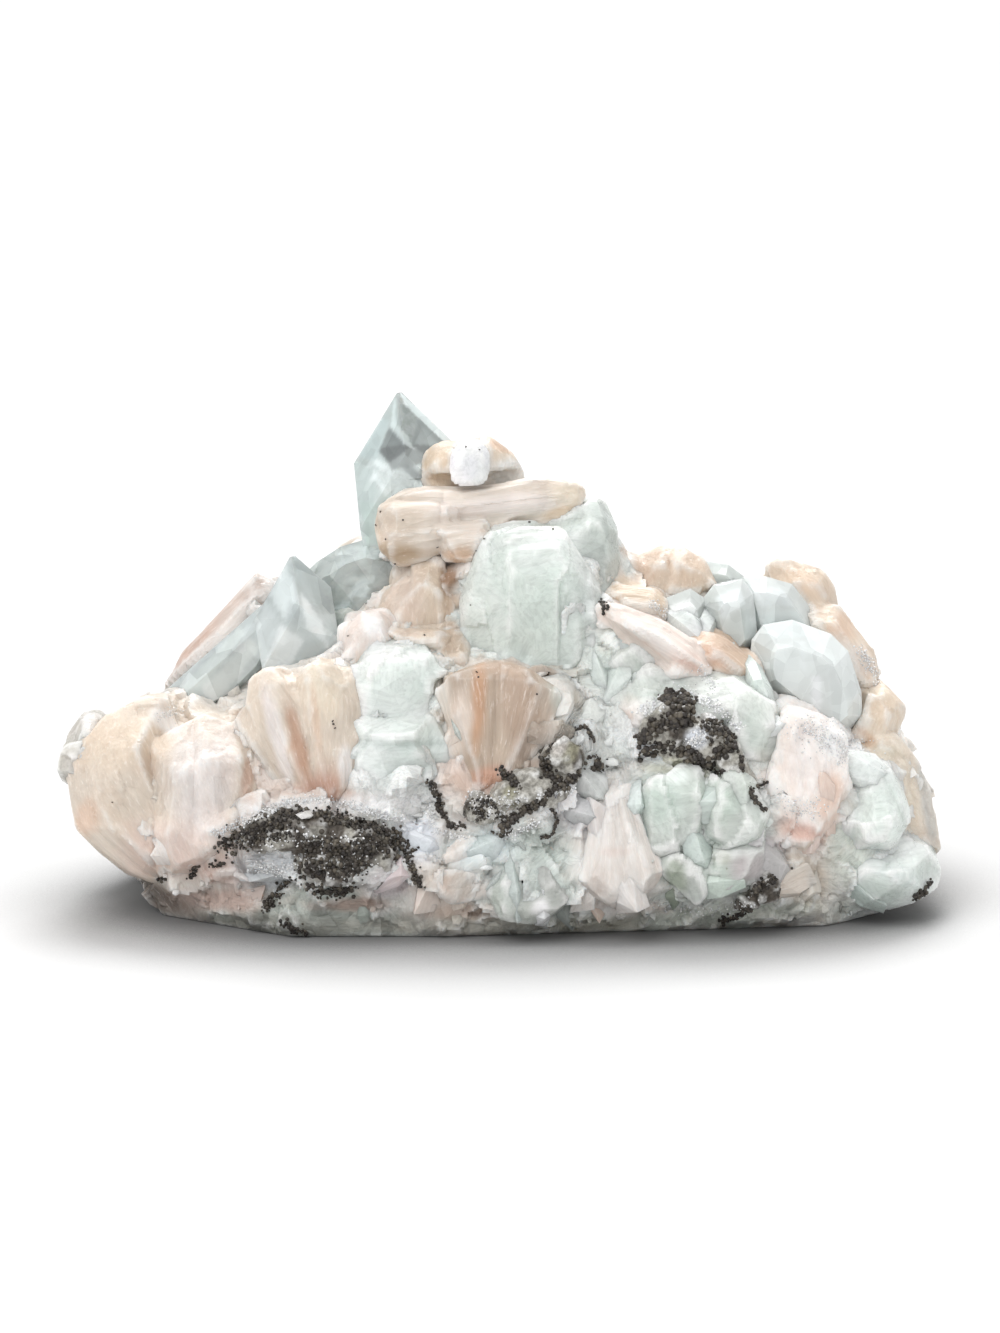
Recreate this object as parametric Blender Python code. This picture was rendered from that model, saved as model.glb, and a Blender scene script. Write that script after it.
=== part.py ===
"""Apophyllite cluster: clear and milky apophyllite crystals with peach stilbite sheaves,
grown together on a broken lump of matrix that rests on its flat foot.

+Z is up, the show side looks along -Y, and the origin is the middle of the object's underside.
Lengths are in millimetres until the pieces are all made.

Outlines of pieces are given as they are seen from the show side: u runs to the right and v runs
down, in units of VIEW_UNIT, and a depth y says how far back that point lies.
"""

import math
import random

import bmesh
import bpy
from mathutils import Euler, Matrix, Vector, noise

MM = 0.001

# The view in which outlines are given
VIEW_UNIT = 0.1695
VIEW_DISTANCE = 560.0
VIEW_TILT = math.radians(9)
VIEW_MIDDLE = (500.0, 666.5)
VIEW_HEIGHT = 39.0

# The gap left between neighbouring pieces
GAP = 0.3

# Apophyllite's pyramid faces, measured from the long axis
PYRAMID_ANGLE = 29.6

# Mineral finishes: linear colour, roughness
FINISHES = {
    "clear_apophyllite": ((0.60, 0.68, 0.67), 0.08),
    "milky_apophyllite": ((0.67, 0.75, 0.71), 0.30),
    "peach_stilbite": ((0.76, 0.65, 0.54), 0.45),
    "white_stilbite": ((0.82, 0.77, 0.74), 0.50),
    "dark_druse": ((0.10, 0.085, 0.07), 0.60),
    "matrix": ((0.56, 0.56, 0.52), 0.70),
}


# The view


def seen(u, v, y):
    """The place at depth y that lies behind the point (u, v) of the show side."""
    rise = (VIEW_MIDDLE[1] - v) * VIEW_UNIT / VIEW_DISTANCE
    tilt_sine, tilt_cosine = math.sin(VIEW_TILT), math.cos(VIEW_TILT)
    reach = VIEW_DISTANCE + y * tilt_cosine
    above = (rise * reach - y * tilt_sine) / (tilt_cosine + rise * tilt_sine)
    along_view = reach - above * tilt_sine
    x = (u - VIEW_MIDDLE[0]) * VIEW_UNIT * along_view / VIEW_DISTANCE
    return Vector((x, y, above + VIEW_HEIGHT))


# Shapes. Each maker returns a function of grow: how far the surface is moved outwards.


def slice_off(bm, point, normal):
    """Cuts away what lies beyond a plane and closes the cut with one face."""
    cut = bmesh.ops.bisect_plane(
        bm,
        geom=[*bm.verts, *bm.edges, *bm.faces],
        plane_co=point,
        plane_no=normal,
        clear_outer=True,
    )
    edges = [part for part in cut["geom_cut"] if isinstance(part, bmesh.types.BMEdge)]
    if edges:
        bmesh.ops.edgeloop_fill(bm, edges=edges)


def frame_along(start, end, turn):
    """A frame whose Z runs from start to end and whose X is level, then turned about Z."""
    axis = (end - start).normalized()
    level = Vector((1, 0, 0)) if abs(axis.x) < 0.8 else Vector((0, 0, 1))
    side = (level - axis * level.dot(axis)).normalized()
    frame = Matrix((side, axis.cross(side), axis)).transposed().to_4x4()
    return Matrix.Translation(start) @ frame @ Matrix.Rotation(math.radians(turn), 4, "Z")


def crystal(foot, tip, size, turn=0, slope=PYRAMID_ANGLE, cap=0.0, skew=(0, 0, 0, 0), cuts=()):
    """A square prism under a four-sided pyramid that is turned 45 degrees to the prism.

    cap is how far the missing apex would stand above the tip, and skew moves the four pyramid
    faces outwards. cuts are broken faces: a direction in the prism's own frame, and a distance
    from the prism's middle.
    """
    foot, tip = Vector(foot), Vector(tip)
    length = (tip - foot).length

    def make(grow):
        bm = bmesh.new()
        bmesh.ops.create_cube(bm, size=1)
        full = (size[0] + 2 * grow, size[1] + 2 * grow, length + 2 * grow)
        bmesh.ops.scale(bm, vec=full, verts=bm.verts)
        bmesh.ops.translate(bm, vec=(0, 0, length / 2), verts=bm.verts)
        lean = math.radians(slope)
        for quarter, shift in enumerate(skew):
            azimuth = math.radians(45 + 90 * quarter)
            outward = (math.cos(lean) * math.cos(azimuth), math.cos(lean) * math.sin(azimuth))
            normal = Vector((*outward, math.sin(lean)))
            slice_off(bm, Vector((0, 0, length + cap)) + normal * (shift + grow), normal)
        for direction, distance in cuts:
            normal = Vector(direction).normalized()
            slice_off(bm, Vector((0, 0, length / 2)) + normal * (distance + grow), normal)
        bm.transform(frame_along(foot, tip, turn))
        return bm

    return make


def block(outline, front, rim, back, lean=30.0, facets=(), tail=0.0):
    """A broken crystal with flat faces, convex, whose outline is seen from the show side.

    The sides lean in by lean degrees from the rim to the front, and by TAPER from the rim to the
    back. tail is the depth over which they lean in by TAIL_LEAN just before the back. facets are
    further faces of the front: the outline point (u, v) that each passes through at the front,
    its direction (x, z) there, and how many degrees it turns that way.
    """
    corners = [seen(u, v, rim) for u, v in outline]
    doubled_area = sum(a.x * b.z - b.x * a.z for a, b in zip(corners, corners[1:] + corners[:1]))
    if doubled_area < 0:
        corners.reverse()

    def make(grow):
        bm = bmesh.new()
        bmesh.ops.create_cube(bm, size=1)
        low = Vector((min(c.x for c in corners) - 1, front - grow, min(c.z for c in corners) - 1))
        high = Vector((max(c.x for c in corners) + 1, back + 5, max(c.z for c in corners) + 1))
        bmesh.ops.scale(bm, vec=high - low, verts=bm.verts)
        bmesh.ops.translate(bm, vec=(low + high) / 2, verts=bm.verts)
        for start, end in zip(corners, corners[1:] + corners[:1]):
            side = end - start
            outward = Vector((side.z, 0, -side.x)).normalized()
            leans = [(start, TAPER), (start, -lean)]
            if tail:
                reach = back - tail - rim
                inner = start - outward * reach * math.tan(math.radians(TAPER))
                leans.append((inner + Vector((0, reach, 0)), TAIL_LEAN))
            for place, degrees in leans:
                tilt = math.radians(degrees)
                normal = outward * math.cos(tilt) + Vector((0, 1, 0)) * math.sin(tilt)
                slice_off(bm, place + normal * grow, normal)
        turned = Vector((math.sin(corners[0].x) * BACK_TURN, 1, math.sin(corners[0].z) * BACK_TURN))
        middle = sum(corners, Vector()) / len(corners)
        slice_off(bm, Vector((middle.x, back + grow, middle.z)), turned.normalized())
        for (u, v), (across, up), angle in facets:
            tilt = math.radians(angle)
            flat = Vector((across, 0, up)).normalized()
            normal = flat * math.sin(tilt) + Vector((0, -1, 0)) * math.cos(tilt)
            slice_off(bm, seen(u, v, front) + normal * grow, normal)
        return bm

    return make


def eased(stations, t):
    """Reads stations (t, value, value, ...) at t with an eased blend."""
    for low, high in zip(stations, stations[1:]):
        if t <= high[0]:
            share = max(0.0, (t - low[0]) / (high[0] - low[0]))
            share = share * share * (3 - 2 * share)
            return [a + (b - a) * share for a, b in zip(low[1:], high[1:])]
    return list(stations[-1][1:])


def squared(angle, power):
    """A point on a superellipse: power 2 is round, and higher powers are squarer."""
    c, s = math.cos(angle), math.sin(angle)
    return math.copysign(abs(c) ** (2 / power), c), math.copysign(abs(s) ** (2 / power), s)


# Corners closer than this are one corner
WELD = 0.002

# The two Boolean solvers agree when their volumes differ by less than this, in mm3
VOLUME_SLACK = 0.6

# How far a block's back is turned, so that no two backs lie in one plane
BACK_TURN = 0.12

# How far a block's sides lean in behind its rim and at its tail, in degrees
TAPER = 7.0
TAIL_LEAN = 38.0

# Faces that meet at less than this are one flat face
FLAT_ANGLE = math.radians(1.2)

# How far a chunk is turned at most about each axis
MOST_TURN = math.radians(32)

# How soon a sheaf reaches its full width after each blunt end, and how deep its ridges are
BLUNTNESS = 2.1
RIDGE_DEPTH = 0.06


def sheaf(root, tip, stations, turn=0, bend=(0, 0, 0), power=2.8, blades=0, arc=0.0, size=(14, 8)):
    """A sheaf of blades: a ball drawn out from root to tip.

    stations hold the share of the length, the half width and the half depth there. blades is the
    number of ridges round it, arc is how far the end falls back at its edges, bend bows the
    middle aside, and size is the ball's segments and rings.
    """
    root, tip = Vector(root), Vector(tip)
    length = (tip - root).length

    def make(grow):
        bm = bmesh.new()
        bmesh.ops.create_uvsphere(bm, u_segments=size[0], v_segments=size[1], radius=1)
        frame = frame_along(root, tip, turn)
        for vert in bm.verts:
            polar = math.pi - math.acos(max(-1.0, min(1.0, vert.co.z)))
            t = (1 - math.cos(polar)) / 2
            half_width, half_depth = eased(stations, t)
            fill = min(1.0, math.sin(polar) * BLUNTNESS)
            angle = math.atan2(vert.co.y, vert.co.x)
            across, through = squared(angle, power)
            ridge = 1 + RIDGE_DEPTH * math.cos(blades * angle) if blades else 1
            x = across * fill * (half_width * ridge + grow)
            y = through * fill * (half_depth * ridge + grow)
            fall = arc * (across * fill) ** 2 * t**3
            z = t * length - fall + (2 * t - 1) * grow
            vert.co = frame @ Vector((x, y, z)) + Vector(bend) * 4 * t * (1 - t)
        return bm

    return make


def lump(centre, half, seed, rough=0.3, detail=2):
    """A rounded lump: a ball with its surface pushed in and out by noise."""

    def make(grow):
        bm = bmesh.new()
        bmesh.ops.create_icosphere(bm, subdivisions=detail, radius=1)
        for vert in bm.verts:
            push = 1 + rough * noise.noise(vert.co * 1.6 + Vector((seed, 0, 0)))
            reach = [vert.co[k] * (half[k] * push + grow) for k in range(3)]
            vert.co = Vector(centre) + Vector(reach)
        return bm

    return make


def chunk(centre, half, seed, faces=12):
    """A broken lump with flat faces: a box cut by planes that touch the ball inside it."""
    centre = Vector(centre)

    def make(grow):
        chance = random.Random(seed)
        bm = bmesh.new()
        bmesh.ops.create_cube(bm, size=2)
        bmesh.ops.scale(bm, vec=[reach + grow for reach in half], verts=bm.verts)
        for _ in range(faces):
            normal = Vector([chance.gauss(0, 1) for _ in range(3)]).normalized()
            support = Vector([normal[k] * half[k] for k in range(3)]).length
            slice_off(bm, normal * (support * chance.uniform(0.9, 1.08) + grow), normal)
        turn = Euler([chance.uniform(-MOST_TURN, MOST_TURN) for _ in range(3)])
        bm.transform(Matrix.Translation(centre) @ turn.to_matrix().to_4x4())
        return bm

    return make


# Growing pieces together


def clear_scene():
    for obj in list(bpy.data.objects):
        bpy.data.objects.remove(obj, do_unlink=True)


def collection(name, parent, hidden=False):
    made = bpy.data.collections.new(name)
    made.hide_render = hidden
    parent.children.link(made)
    return made


def finish_of(mineral):
    """The mineral's material, made on first use."""
    material = bpy.data.materials.get(mineral)
    if material is None:
        colour, roughness = FINISHES[mineral]
        material = bpy.data.materials.new(mineral)
        material.use_nodes = True
        shader = material.node_tree.nodes["Principled BSDF"]
        shader.inputs["Base Color"].default_value = (*colour, 1.0)
        shader.inputs["Roughness"].default_value = roughness
        shader.inputs["Metallic"].default_value = 0.0
    return material


def add_object(name, bm, mineral, home):
    """Turns a bmesh into an object, with flat triangles for the Booleans."""
    bmesh.ops.triangulate(bm, faces=bm.faces)
    bmesh.ops.recalc_face_normals(bm, faces=bm.faces)
    mesh = bpy.data.meshes.new(name)
    bm.to_mesh(mesh)
    bm.free()
    obj = bpy.data.objects.new(name, mesh)
    obj.data.materials.append(finish_of(mineral))
    home.objects.link(obj)
    return obj


def limits(obj):
    points = [vert.co for vert in obj.data.vertices]
    return [(min(p[k] for p in points), max(p[k] for p in points)) for k in range(3)]


def boxes_meet(a, b):
    pairs = zip(limits(a), limits(b))
    return all(low_a < high_b and low_b < high_a for (low_a, high_a), (low_b, high_b) in pairs)


def islands(bm):
    """The connected parts of a mesh, as lists of faces."""
    left = set(bm.faces)
    found = []
    while left:
        island = [left.pop()]
        for face in island:
            for edge in face.edges:
                for other in edge.link_faces:
                    if other in left:
                        left.remove(other)
                        island.append(other)
        found.append(island)
    return found


def evaluated(obj):
    graph = bpy.context.evaluated_depsgraph_get()
    return bpy.data.meshes.new_from_object(obj.evaluated_get(graph))


def tidied(mesh):
    """Drops crumbs cut loose from the piece and joins up its flat faces. Gives its volume too,
    which is 0 where it is open.
    """
    bm = bmesh.new()
    bm.from_mesh(mesh)
    bmesh.ops.remove_doubles(bm, verts=bm.verts, dist=WELD)
    for crumb in sorted(islands(bm), key=len)[:-1]:
        bmesh.ops.delete(bm, geom=crumb, context="FACES")
    for face in bm.faces:
        face.material_index = 0
    bmesh.ops.dissolve_limit(bm, angle_limit=FLAT_ANGLE, verts=bm.verts, edges=bm.edges)
    bmesh.ops.triangulate(bm, faces=bm.faces)
    closed = len(bm.faces) > 0 and all(len(edge.link_faces) == 2 for edge in bm.edges)
    volume = bm.calc_volume() if closed else 0
    bm.to_mesh(mesh)
    bm.free()
    return mesh, volume


class Cluster:
    """The pieces in order. A later piece stops at the sockets of the earlier ones."""

    def __init__(self):
        self.home = collection("apophyllite_cluster", bpy.context.scene.collection)
        self.helpers = collection("helpers", bpy.context.scene.collection, hidden=True)
        self.sockets = []

    def helper(self, name, bm):
        made = add_object(name, bm, "matrix", self.helpers)
        made.hide_render = True
        made.display_type = "WIRE"
        return made

    def boolean(self, piece, operation, others):
        """One Boolean of the piece with a list of helpers, taken together."""
        if not others:
            return
        group = collection(f"{piece.name}_{operation.lower()}", self.helpers, hidden=True)
        for other in others:
            group.objects.link(other)
        modifier = piece.modifiers.new(operation.lower(), "BOOLEAN")
        modifier.operation = operation
        modifier.operand_type = "COLLECTION"
        modifier.collection = group

    def grow(self, name, mineral, *shapes):
        """Adds a piece made of one or more shapes that have grown into each other."""
        piece = add_object(name, shapes[0](0), mineral, self.home)
        numbered = list(enumerate(shapes))
        joined = [self.helper(f"{name}_joined_{k}", make(0)) for k, make in numbered[1:]]
        self.boolean(piece, "UNION", joined)
        met = [s for s in self.sockets if any(boxes_meet(part, s) for part in [piece, *joined])]
        self.boolean(piece, "DIFFERENCE", met)
        finish = piece.data.materials[0]
        exact, exact_volume = tidied(evaluated(piece))
        for modifier in piece.modifiers:
            modifier.solver = "MANIFOLD"
        other, other_volume = tidied(evaluated(piece))
        exact_failed = other_volume and abs(exact_volume - other_volume) > VOLUME_SLACK
        piece.data = other if exact_failed else exact
        piece.modifiers.clear()
        piece.data.materials.clear()
        piece.data.materials.append(finish)
        for k, make in numbered:
            self.sockets.append(self.helper(f"{name}_socket_{k}", make(GAP)))

    def settle(self):
        """Puts the middle of the foot at the origin and turns millimetres into metres."""
        edges = [limits(obj) for obj in self.home.objects]
        low = [min(edge[k][0] for edge in edges) for k in range(3)]
        high = [max(edge[k][1] for edge in edges) for k in range(3)]
        foot = Vector(((low[0] + high[0]) / 2, (low[1] + high[1]) / 2, low[2]))
        place = Matrix.Scale(MM, 4) @ Matrix.Translation(-foot)
        for obj in [*self.home.objects, *self.helpers.objects]:
            obj.data.transform(place)


# The matrix

# Each station: height, then the left, right, front and back limits there
MATRIX_STATIONS = [
    (0.0, -47, 37, -32, 27),
    (2.5, -53, 57, -34.5, 31),
    (6.0, -60, 67, -36, 34),
    (12.0, -66, 69, -35.5, 36),
    (20.0, -65, 66, -31.5, 36),
    (29.0, -57, 59, -24, 33),
    (38.0, -47, 49, -14, 28),
    (47.0, -33, 36, -8, 22),
    (55.0, -22, 14, -3, 17),
    (61.0, -12, 8, 2, 13),
]
MATRIX_ROUND = 2.7
MATRIX_FACES = 90
MATRIX_CHUNKS = 24
HIGHEST_CHUNK = 46

# The mound is read at this many turns and heights, inside a blank of this size
MOUND_TURNS = 60
MOUND_HEIGHTS = 24
BLANK = (200, 120)

# How far a broken face may lie inside the mound, and how high loose-looking chunks stay off the foot
DEEPEST_BREAK = 2.2
CLEAR_OF_FLOOR = 1.2

# How much of a chunk's depth is sunk in the mound, on the show side and elsewhere
SUNK_IN_FRONT = 0.9
SUNK = 0.62


def mound_point(turn, height, inset=0.0):
    """A point of the mound's surface at this height, or inset from it."""
    left, right, front, back = eased(MATRIX_STATIONS, height)
    across, through = squared(turn, MATRIX_ROUND)
    x = (left + right) / 2 + across * ((right - left) / 2 - inset)
    y = (front + back) / 2 + through * ((back - front) / 2 - inset)
    return Vector((x, y, height))


def matrix_core(grow):
    """The body of the matrix: flat broken faces all round a mound, and a flat foot."""
    top = MATRIX_STATIONS[-1][0]
    turns = [math.tau * k / MOUND_TURNS for k in range(MOUND_TURNS)]
    heights = [top * k / MOUND_HEIGHTS for k in range(MOUND_HEIGHTS + 1)]
    points = [mound_point(turn, height) for turn in turns for height in heights]
    chance = random.Random(7)
    bm = bmesh.new()
    bmesh.ops.create_cube(bm, size=1)
    bmesh.ops.scale(bm, vec=(*BLANK, top + grow), verts=bm.verts)
    bmesh.ops.translate(bm, vec=(0, 0, (top + grow) / 2), verts=bm.verts)
    for _ in range(MATRIX_FACES):
        across, through, up = chance.gauss(0, 0.7), chance.gauss(0, 1), chance.gauss(0.2, 0.7)
        normal = Vector((across, through, up)).normalized()
        support = max(normal.dot(point) for point in points)
        slice_off(bm, normal * (support - chance.uniform(0, DEEPEST_BREAK) + grow), normal)
    return bm


def matrix_chunks():
    """Broken ledges all over the matrix. They stand out least on the show side."""
    chance = random.Random(19)
    chunks = []
    for k in range(MATRIX_CHUNKS):
        turn = math.tau * (k + chance.random()) / MATRIX_CHUNKS
        half = [chance.uniform(6, 10), chance.uniform(5, 7), chance.uniform(4, 7)]
        height = chance.uniform(half[2] + CLEAR_OF_FLOOR, HIGHEST_CHUNK)
        inset = half[1] * (SUNK_IN_FRONT if math.sin(turn) < 0 else SUNK)
        chunks.append(chunk(mound_point(turn, height, inset), half, seed=500 + k))
    return chunks


# The pieces of the show side, front ones first


def druse_crusts(cluster):
    """The dark drusy crusts in the hollows of the broken face."""
    cluster.grow(
        "druse_crust_left",
        "dark_druse",
        lump(seen(285, 832, -35), (12.0, 3.2, 4.2), seed=11),
        lump(seen(350, 862, -35.5), (9.6, 3.2, 6.0), seed=12),
        lump(seen(395, 845, -34.5), (4.6, 3.0, 4.4), seed=13),
    )
    cluster.grow(
        "druse_crust_centre",
        "dark_druse",
        lump(seen(475, 812, -35.5), (5.6, 2.8, 3.0), seed=14),
        lump(seen(530, 795, -35), (6.6, 3.0, 4.2), seed=15),
        lump(seen(573, 757, -33.5), (4.8, 2.8, 4.6), seed=16),
    )
    cluster.grow(
        "druse_crust_right",
        "dark_druse",
        lump(seen(664, 732, -30.5), (6.2, 3.0, 6.2), seed=17),
        lump(seen(708, 742, -31), (6.6, 2.6, 4.6), seed=18),
        sheaf(
            seen(722, 752, -32), seen(774, 818, -33.5),
            [(0, 2.4, 2.4), (0.5, 1.7, 2.2), (0.8, 1.9, 2.2), (1, 1.4, 1.8)], size=(8, 6),
        ),
    )
    cluster.grow(
        "druse_crust_low_right",
        "dark_druse",
        lump(seen(768, 886, -33.5), (3.8, 2.4, 2.6), seed=20),
        lump(seen(743, 906, -33.5), (3.0, 2.4, 2.4), seed=21, detail=1),
    )


def top_sheaf(cluster):
    """The bow-tie sheaf across the top and the fan under its waist."""
    cluster.grow(
        "stilbite_bow_tie_top",
        "peach_stilbite",
        sheaf(
            seen(383, 508, -8), seen(587, 497, -5),
            [(0, 2.6, 5.0), (0.15, 3.6, 6.0), (0.45, 3.2, 5.2), (0.8, 3.4, 6.4), (1, 2.0, 4.4)],
            turn=90, power=3.2, blades=5, size=(12, 9),
        ),
        sheaf(
            seen(377, 524, -9), seen(462, 524, -9.5),
            [(0, 3.0, 4.6), (0.22, 5.4, 6.0), (0.6, 4.8, 5.4), (1, 2.4, 3.4)],
            turn=90, power=2.8, blades=4, size=(12, 7),
        ),
        block(
            [(424, 522), (487, 520), (487, 544), (472, 570), (465, 584), (454, 566), (434, 540)],
            front=-15, rim=-12, back=-2, lean=25, facets=[((455, 550), (-0.6, -0.8), 25)],
        ),
    )
    cluster.grow(
        "apophyllite_button_top",
        "milky_apophyllite",
        block(
            [
                (453, 456), (462, 443), (479, 442), (487, 454), (487, 478), (478, 492),
                (460, 492), (452, 478),
            ],
            front=-10.5, rim=-8.5, back=-1, lean=28,
        ),
    )
    cluster.grow(
        "stilbite_tablet_top",
        "peach_stilbite",
        block(
            [
                (423, 480), (427, 458), (436, 445), (490, 438), (512, 455), (522, 472),
                (524, 488), (505, 500), (430, 500),
            ],
            front=-6.5, rim=-3.5, back=7, tail=3,
            facets=[((490, 470), (1, 0.4), 24)],
        ),
    )


def left_front(cluster):
    """The twin sheaf at the left of the middle block, and the big fan beside it."""
    cluster.grow(
        "stilbite_twin_sheaf_left",
        "peach_stilbite",
        sheaf(
            seen(326, 818, -29), seen(264, 668, -23),
            [(0, 1.6, 3), (0.3, 3.0, 4.6), (0.7, 5.2, 5.4), (0.9, 4.8, 5.0), (1, 3.2, 3.6)],
            blades=5, arc=1.0,
        ),
        sheaf(
            seen(334, 818, -30), seen(323, 657, -23),
            [(0, 2.0, 3), (0.3, 3.4, 4.6), (0.7, 5.6, 5.4), (0.9, 5.0, 5.0), (1, 3.0, 3.6)],
            blades=5, arc=2.2,
        ),
    )
    cluster.grow(
        "apophyllite_block_middle",
        "milky_apophyllite",
        block(
            [(360, 665), (376, 647), (436, 650), (441, 690), (436, 745), (348, 745), (350, 700)],
            front=-27.5, rim=-24, back=-4, facets=[((420, 650), (0.9, 0.3), 20)],
        ),
        block(
            [(350, 722), (434, 716), (440, 780), (404, 813), (384, 814), (361, 798), (343, 765)],
            front=-32.5, rim=-28.5, back=-6, facets=[((400, 770), (0.7, -0.7), 22)],
        ),
    )
    cluster.grow(
        "apophyllite_pair_left",
        "clear_apophyllite",
        crystal(
            seen(309, 700, -9), seen(285, 559, -9), (13.0, 12.4), turn=4,
            skew=(1.1, -0.7, -0.5, 0.9),
        ),
        block(
            [
                (157, 699), (182, 676), (218, 644), (262, 606), (290, 640), (268, 670),
                (238, 700), (203, 718), (176, 708),
            ],
            front=-9, rim=-5, back=9, tail=4,
        ),
    )
    cluster.grow(
        "stilbite_fan_left",
        "peach_stilbite",
        block(
            [(70, 790), (75, 762), (84, 738), (99, 721), (140, 700), (165, 697), (196, 780), (190, 860),
             (162, 890), (132, 876), (100, 851), (78, 829)],
            front=-27.5, rim=-19, back=8, lean=36, facets=[((130, 780), (-0.8, 0.5), 14)], tail=9,
        ),
        block(
            [(150, 720), (168, 703), (205, 716), (240, 699), (262, 742), (294, 800), (262, 850), (218, 872),
             (165, 885), (142, 830)],
            front=-32, rim=-24, back=4, lean=34, facets=[((210, 780), (0.9, 0.2), 14)],
        ),
    )


def centre_front(cluster):
    """The open fan below the centre block, and the broken stubs round the middle block."""
    cluster.grow(
        "stilbite_fan_centre",
        "peach_stilbite",
        sheaf(
            seen(492, 796, -33), seen(498, 662, -25.5),
            [(0, 1.8, 2.6), (0.3, 4.6, 3.8), (0.65, 9.6, 5.2), (0.88, 11.6, 5.6), (1, 9.0, 4.0)],
            power=3.0, blades=6, arc=4.4, size=(18, 9),
        ),
    )
    cluster.grow(
        "stilbite_stub_left_centre",
        "white_stilbite",
        block(
            [
                (344, 644), (349, 628), (362, 613), (385, 613), (392, 640), (378, 668),
                (356, 676), (346, 660),
            ],
            front=-22, rim=-19, back=-6,
        ),
    )
    cluster.grow(
        "stilbite_barrel_centre",
        "peach_stilbite",
        block(
            [
                (430, 557), (408, 567), (394, 581), (384, 600), (383, 634), (396, 655),
                (444, 658), (462, 600), (447, 574),
            ],
            front=-16, rim=-11, back=2, lean=32, facets=[((434, 600), (1, 0.12), 40)],
        ),
        block(
            [(380, 642), (396, 631), (440, 633), (462, 650), (462, 676), (444, 705), (398, 680)],
            front=-22, rim=-20, back=-2,
        ),
    )


def centre_blocks(cluster):
    """The big milky block in the middle of the cluster and the glassy one behind its shoulder."""
    cluster.grow(
        "apophyllite_block_centre",
        "milky_apophyllite",
        block(
            [(484, 548), (505, 533), (562, 533), (580, 556), (598, 588), (602, 650), (592, 704), (480, 704),
             (460, 672), (457, 604), (467, 580)],
            front=-21, rim=-15, back=10, lean=32, facets=[((512, 600), (-1, 0.1), 26)],
        ),
        block(
            [
                (500, 536), (586, 506), (606, 509), (616, 524), (623, 560), (619, 590),
                (606, 660), (500, 660),
            ],
            front=-12, rim=-6, back=13, lean=34, facets=[((575, 540), (0.9, 0.35), 26)], tail=5,
        ),
    )


def right_front(cluster):
    """The blades, ledges and blocks in front on the right."""
    cluster.grow(
        "stilbite_blade_right",
        "white_stilbite",
        block(
            [(598, 612), (606, 603), (622, 607), (662, 622), (692, 641), (708, 660), (713, 675), (700, 682),
             (668, 674), (630, 640)],
            front=-25, rim=-21, back=-8,
        ),
    )
    cluster.grow(
        "stilbite_finger_right",
        "peach_stilbite",
        block(
            [
                (688, 640), (700, 632), (724, 639), (757, 667), (760, 690), (750, 697),
                (733, 686), (706, 672),
            ],
            front=-21.5, rim=-18, back=-4,
        ),
    )
    cluster.grow(
        "apophyllite_ledge_right",
        "milky_apophyllite",
        block(
            [(596, 706), (640, 680), (745, 681), (772, 704), (770, 722), (700, 735), (610, 735)],
            front=-29, rim=-24, back=-4, lean=34,
        ),
        block(
            [
                (728, 700), (752, 688), (774, 704), (786, 722), (781, 770), (766, 796),
                (742, 775), (728, 740),
            ],
            front=-30.5, rim=-27, back=-6,
        ),
        block(
            [(598, 640), (606, 622), (640, 640), (690, 680), (690, 700), (620, 700)],
            front=-21.5, rim=-19, back=-4,
        ),
    )
    cluster.grow(
        "apophyllite_block_low_right",
        "milky_apophyllite",
        block(
            [
                (840, 812), (843, 778), (862, 764), (889, 772), (903, 790), (906, 820),
                (892, 850), (850, 850),
            ],
            front=-29.5, rim=-24, back=-6,
        ),
        block(
            [(832, 880), (838, 852), (858, 838), (900, 838), (930, 850), (942, 868), (936, 886), (914, 902),
             (880, 912), (846, 908), (832, 897)],
            front=-30.5, rim=-22, back=-4, lean=34, facets=[((880, 870), (0.7, 0.7), 18)],
        ),
    )
    cluster.grow(
        "stilbite_wall_right",
        "white_stilbite",
        block(
            [(774, 722), (790, 706), (826, 718), (858, 746), (866, 772), (846, 800), (846, 852), (800, 866),
             (772, 836), (768, 770)],
            front=-30.5, rim=-28, back=-8, facets=[((812, 780), (0.9, 0.3), 18)],
        ),
    )
    cluster.grow(
        "apophyllite_block_low_centre",
        "milky_apophyllite",
        block([(632, 800), (654, 766), (700, 768), (714, 800), (702, 846), (666, 858), (640, 845)],
              front=-36, rim=-32.5, back=-18),
        block([(700, 804), (712, 772), (742, 776), (770, 802), (762, 838), (722, 852), (700, 838)],
              front=-37, rim=-33, back=-18),
        block([(658, 868), (666, 849), (690, 845), (710, 858), (714, 892), (696, 909), (668, 904)],
              front=-37.5, rim=-34, back=-20),
        block([(698, 862), (714, 842), (746, 836), (776, 850), (778, 880), (744, 904), (708, 904)],
              front=-36, rim=-33, back=-20),
    )


def low_front(cluster):
    """The broken fans along the foot of the show side."""
    cluster.grow(
        "stilbite_fan_low_centre",
        "white_stilbite",
        sheaf(
            seen(612, 790, -31), seen(622, 912, -35),
            [(0, 2.2, 3), (0.35, 4.6, 4), (0.8, 7.6, 4.6), (1, 6.4, 3.4)],
            turn=180, power=3, blades=6, arc=2, size=(14, 7),
        ),
    )
    cluster.grow(
        "apophyllite_fan_low_left",
        "milky_apophyllite",
        sheaf(
            seen(520, 838, -33), seen(533, 922, -35),
            [(0, 2.6, 3), (0.4, 5.0, 4), (0.85, 7.2, 4.4), (1, 6.2, 3.4)],
            turn=180, power=3, blades=6, arc=1.4, size=(14, 7),
        ),
    )
    cluster.grow(
        "stilbite_wedge_low_left",
        "white_stilbite",
        block(
            [
                (424, 872), (436, 846), (462, 830), (496, 838), (504, 866), (492, 902),
                (452, 908), (428, 898),
            ],
            front=-36.5, rim=-33, back=-18, facets=[((470, 870), (0.8, -0.4), 20)],
        ),
    )


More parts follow.
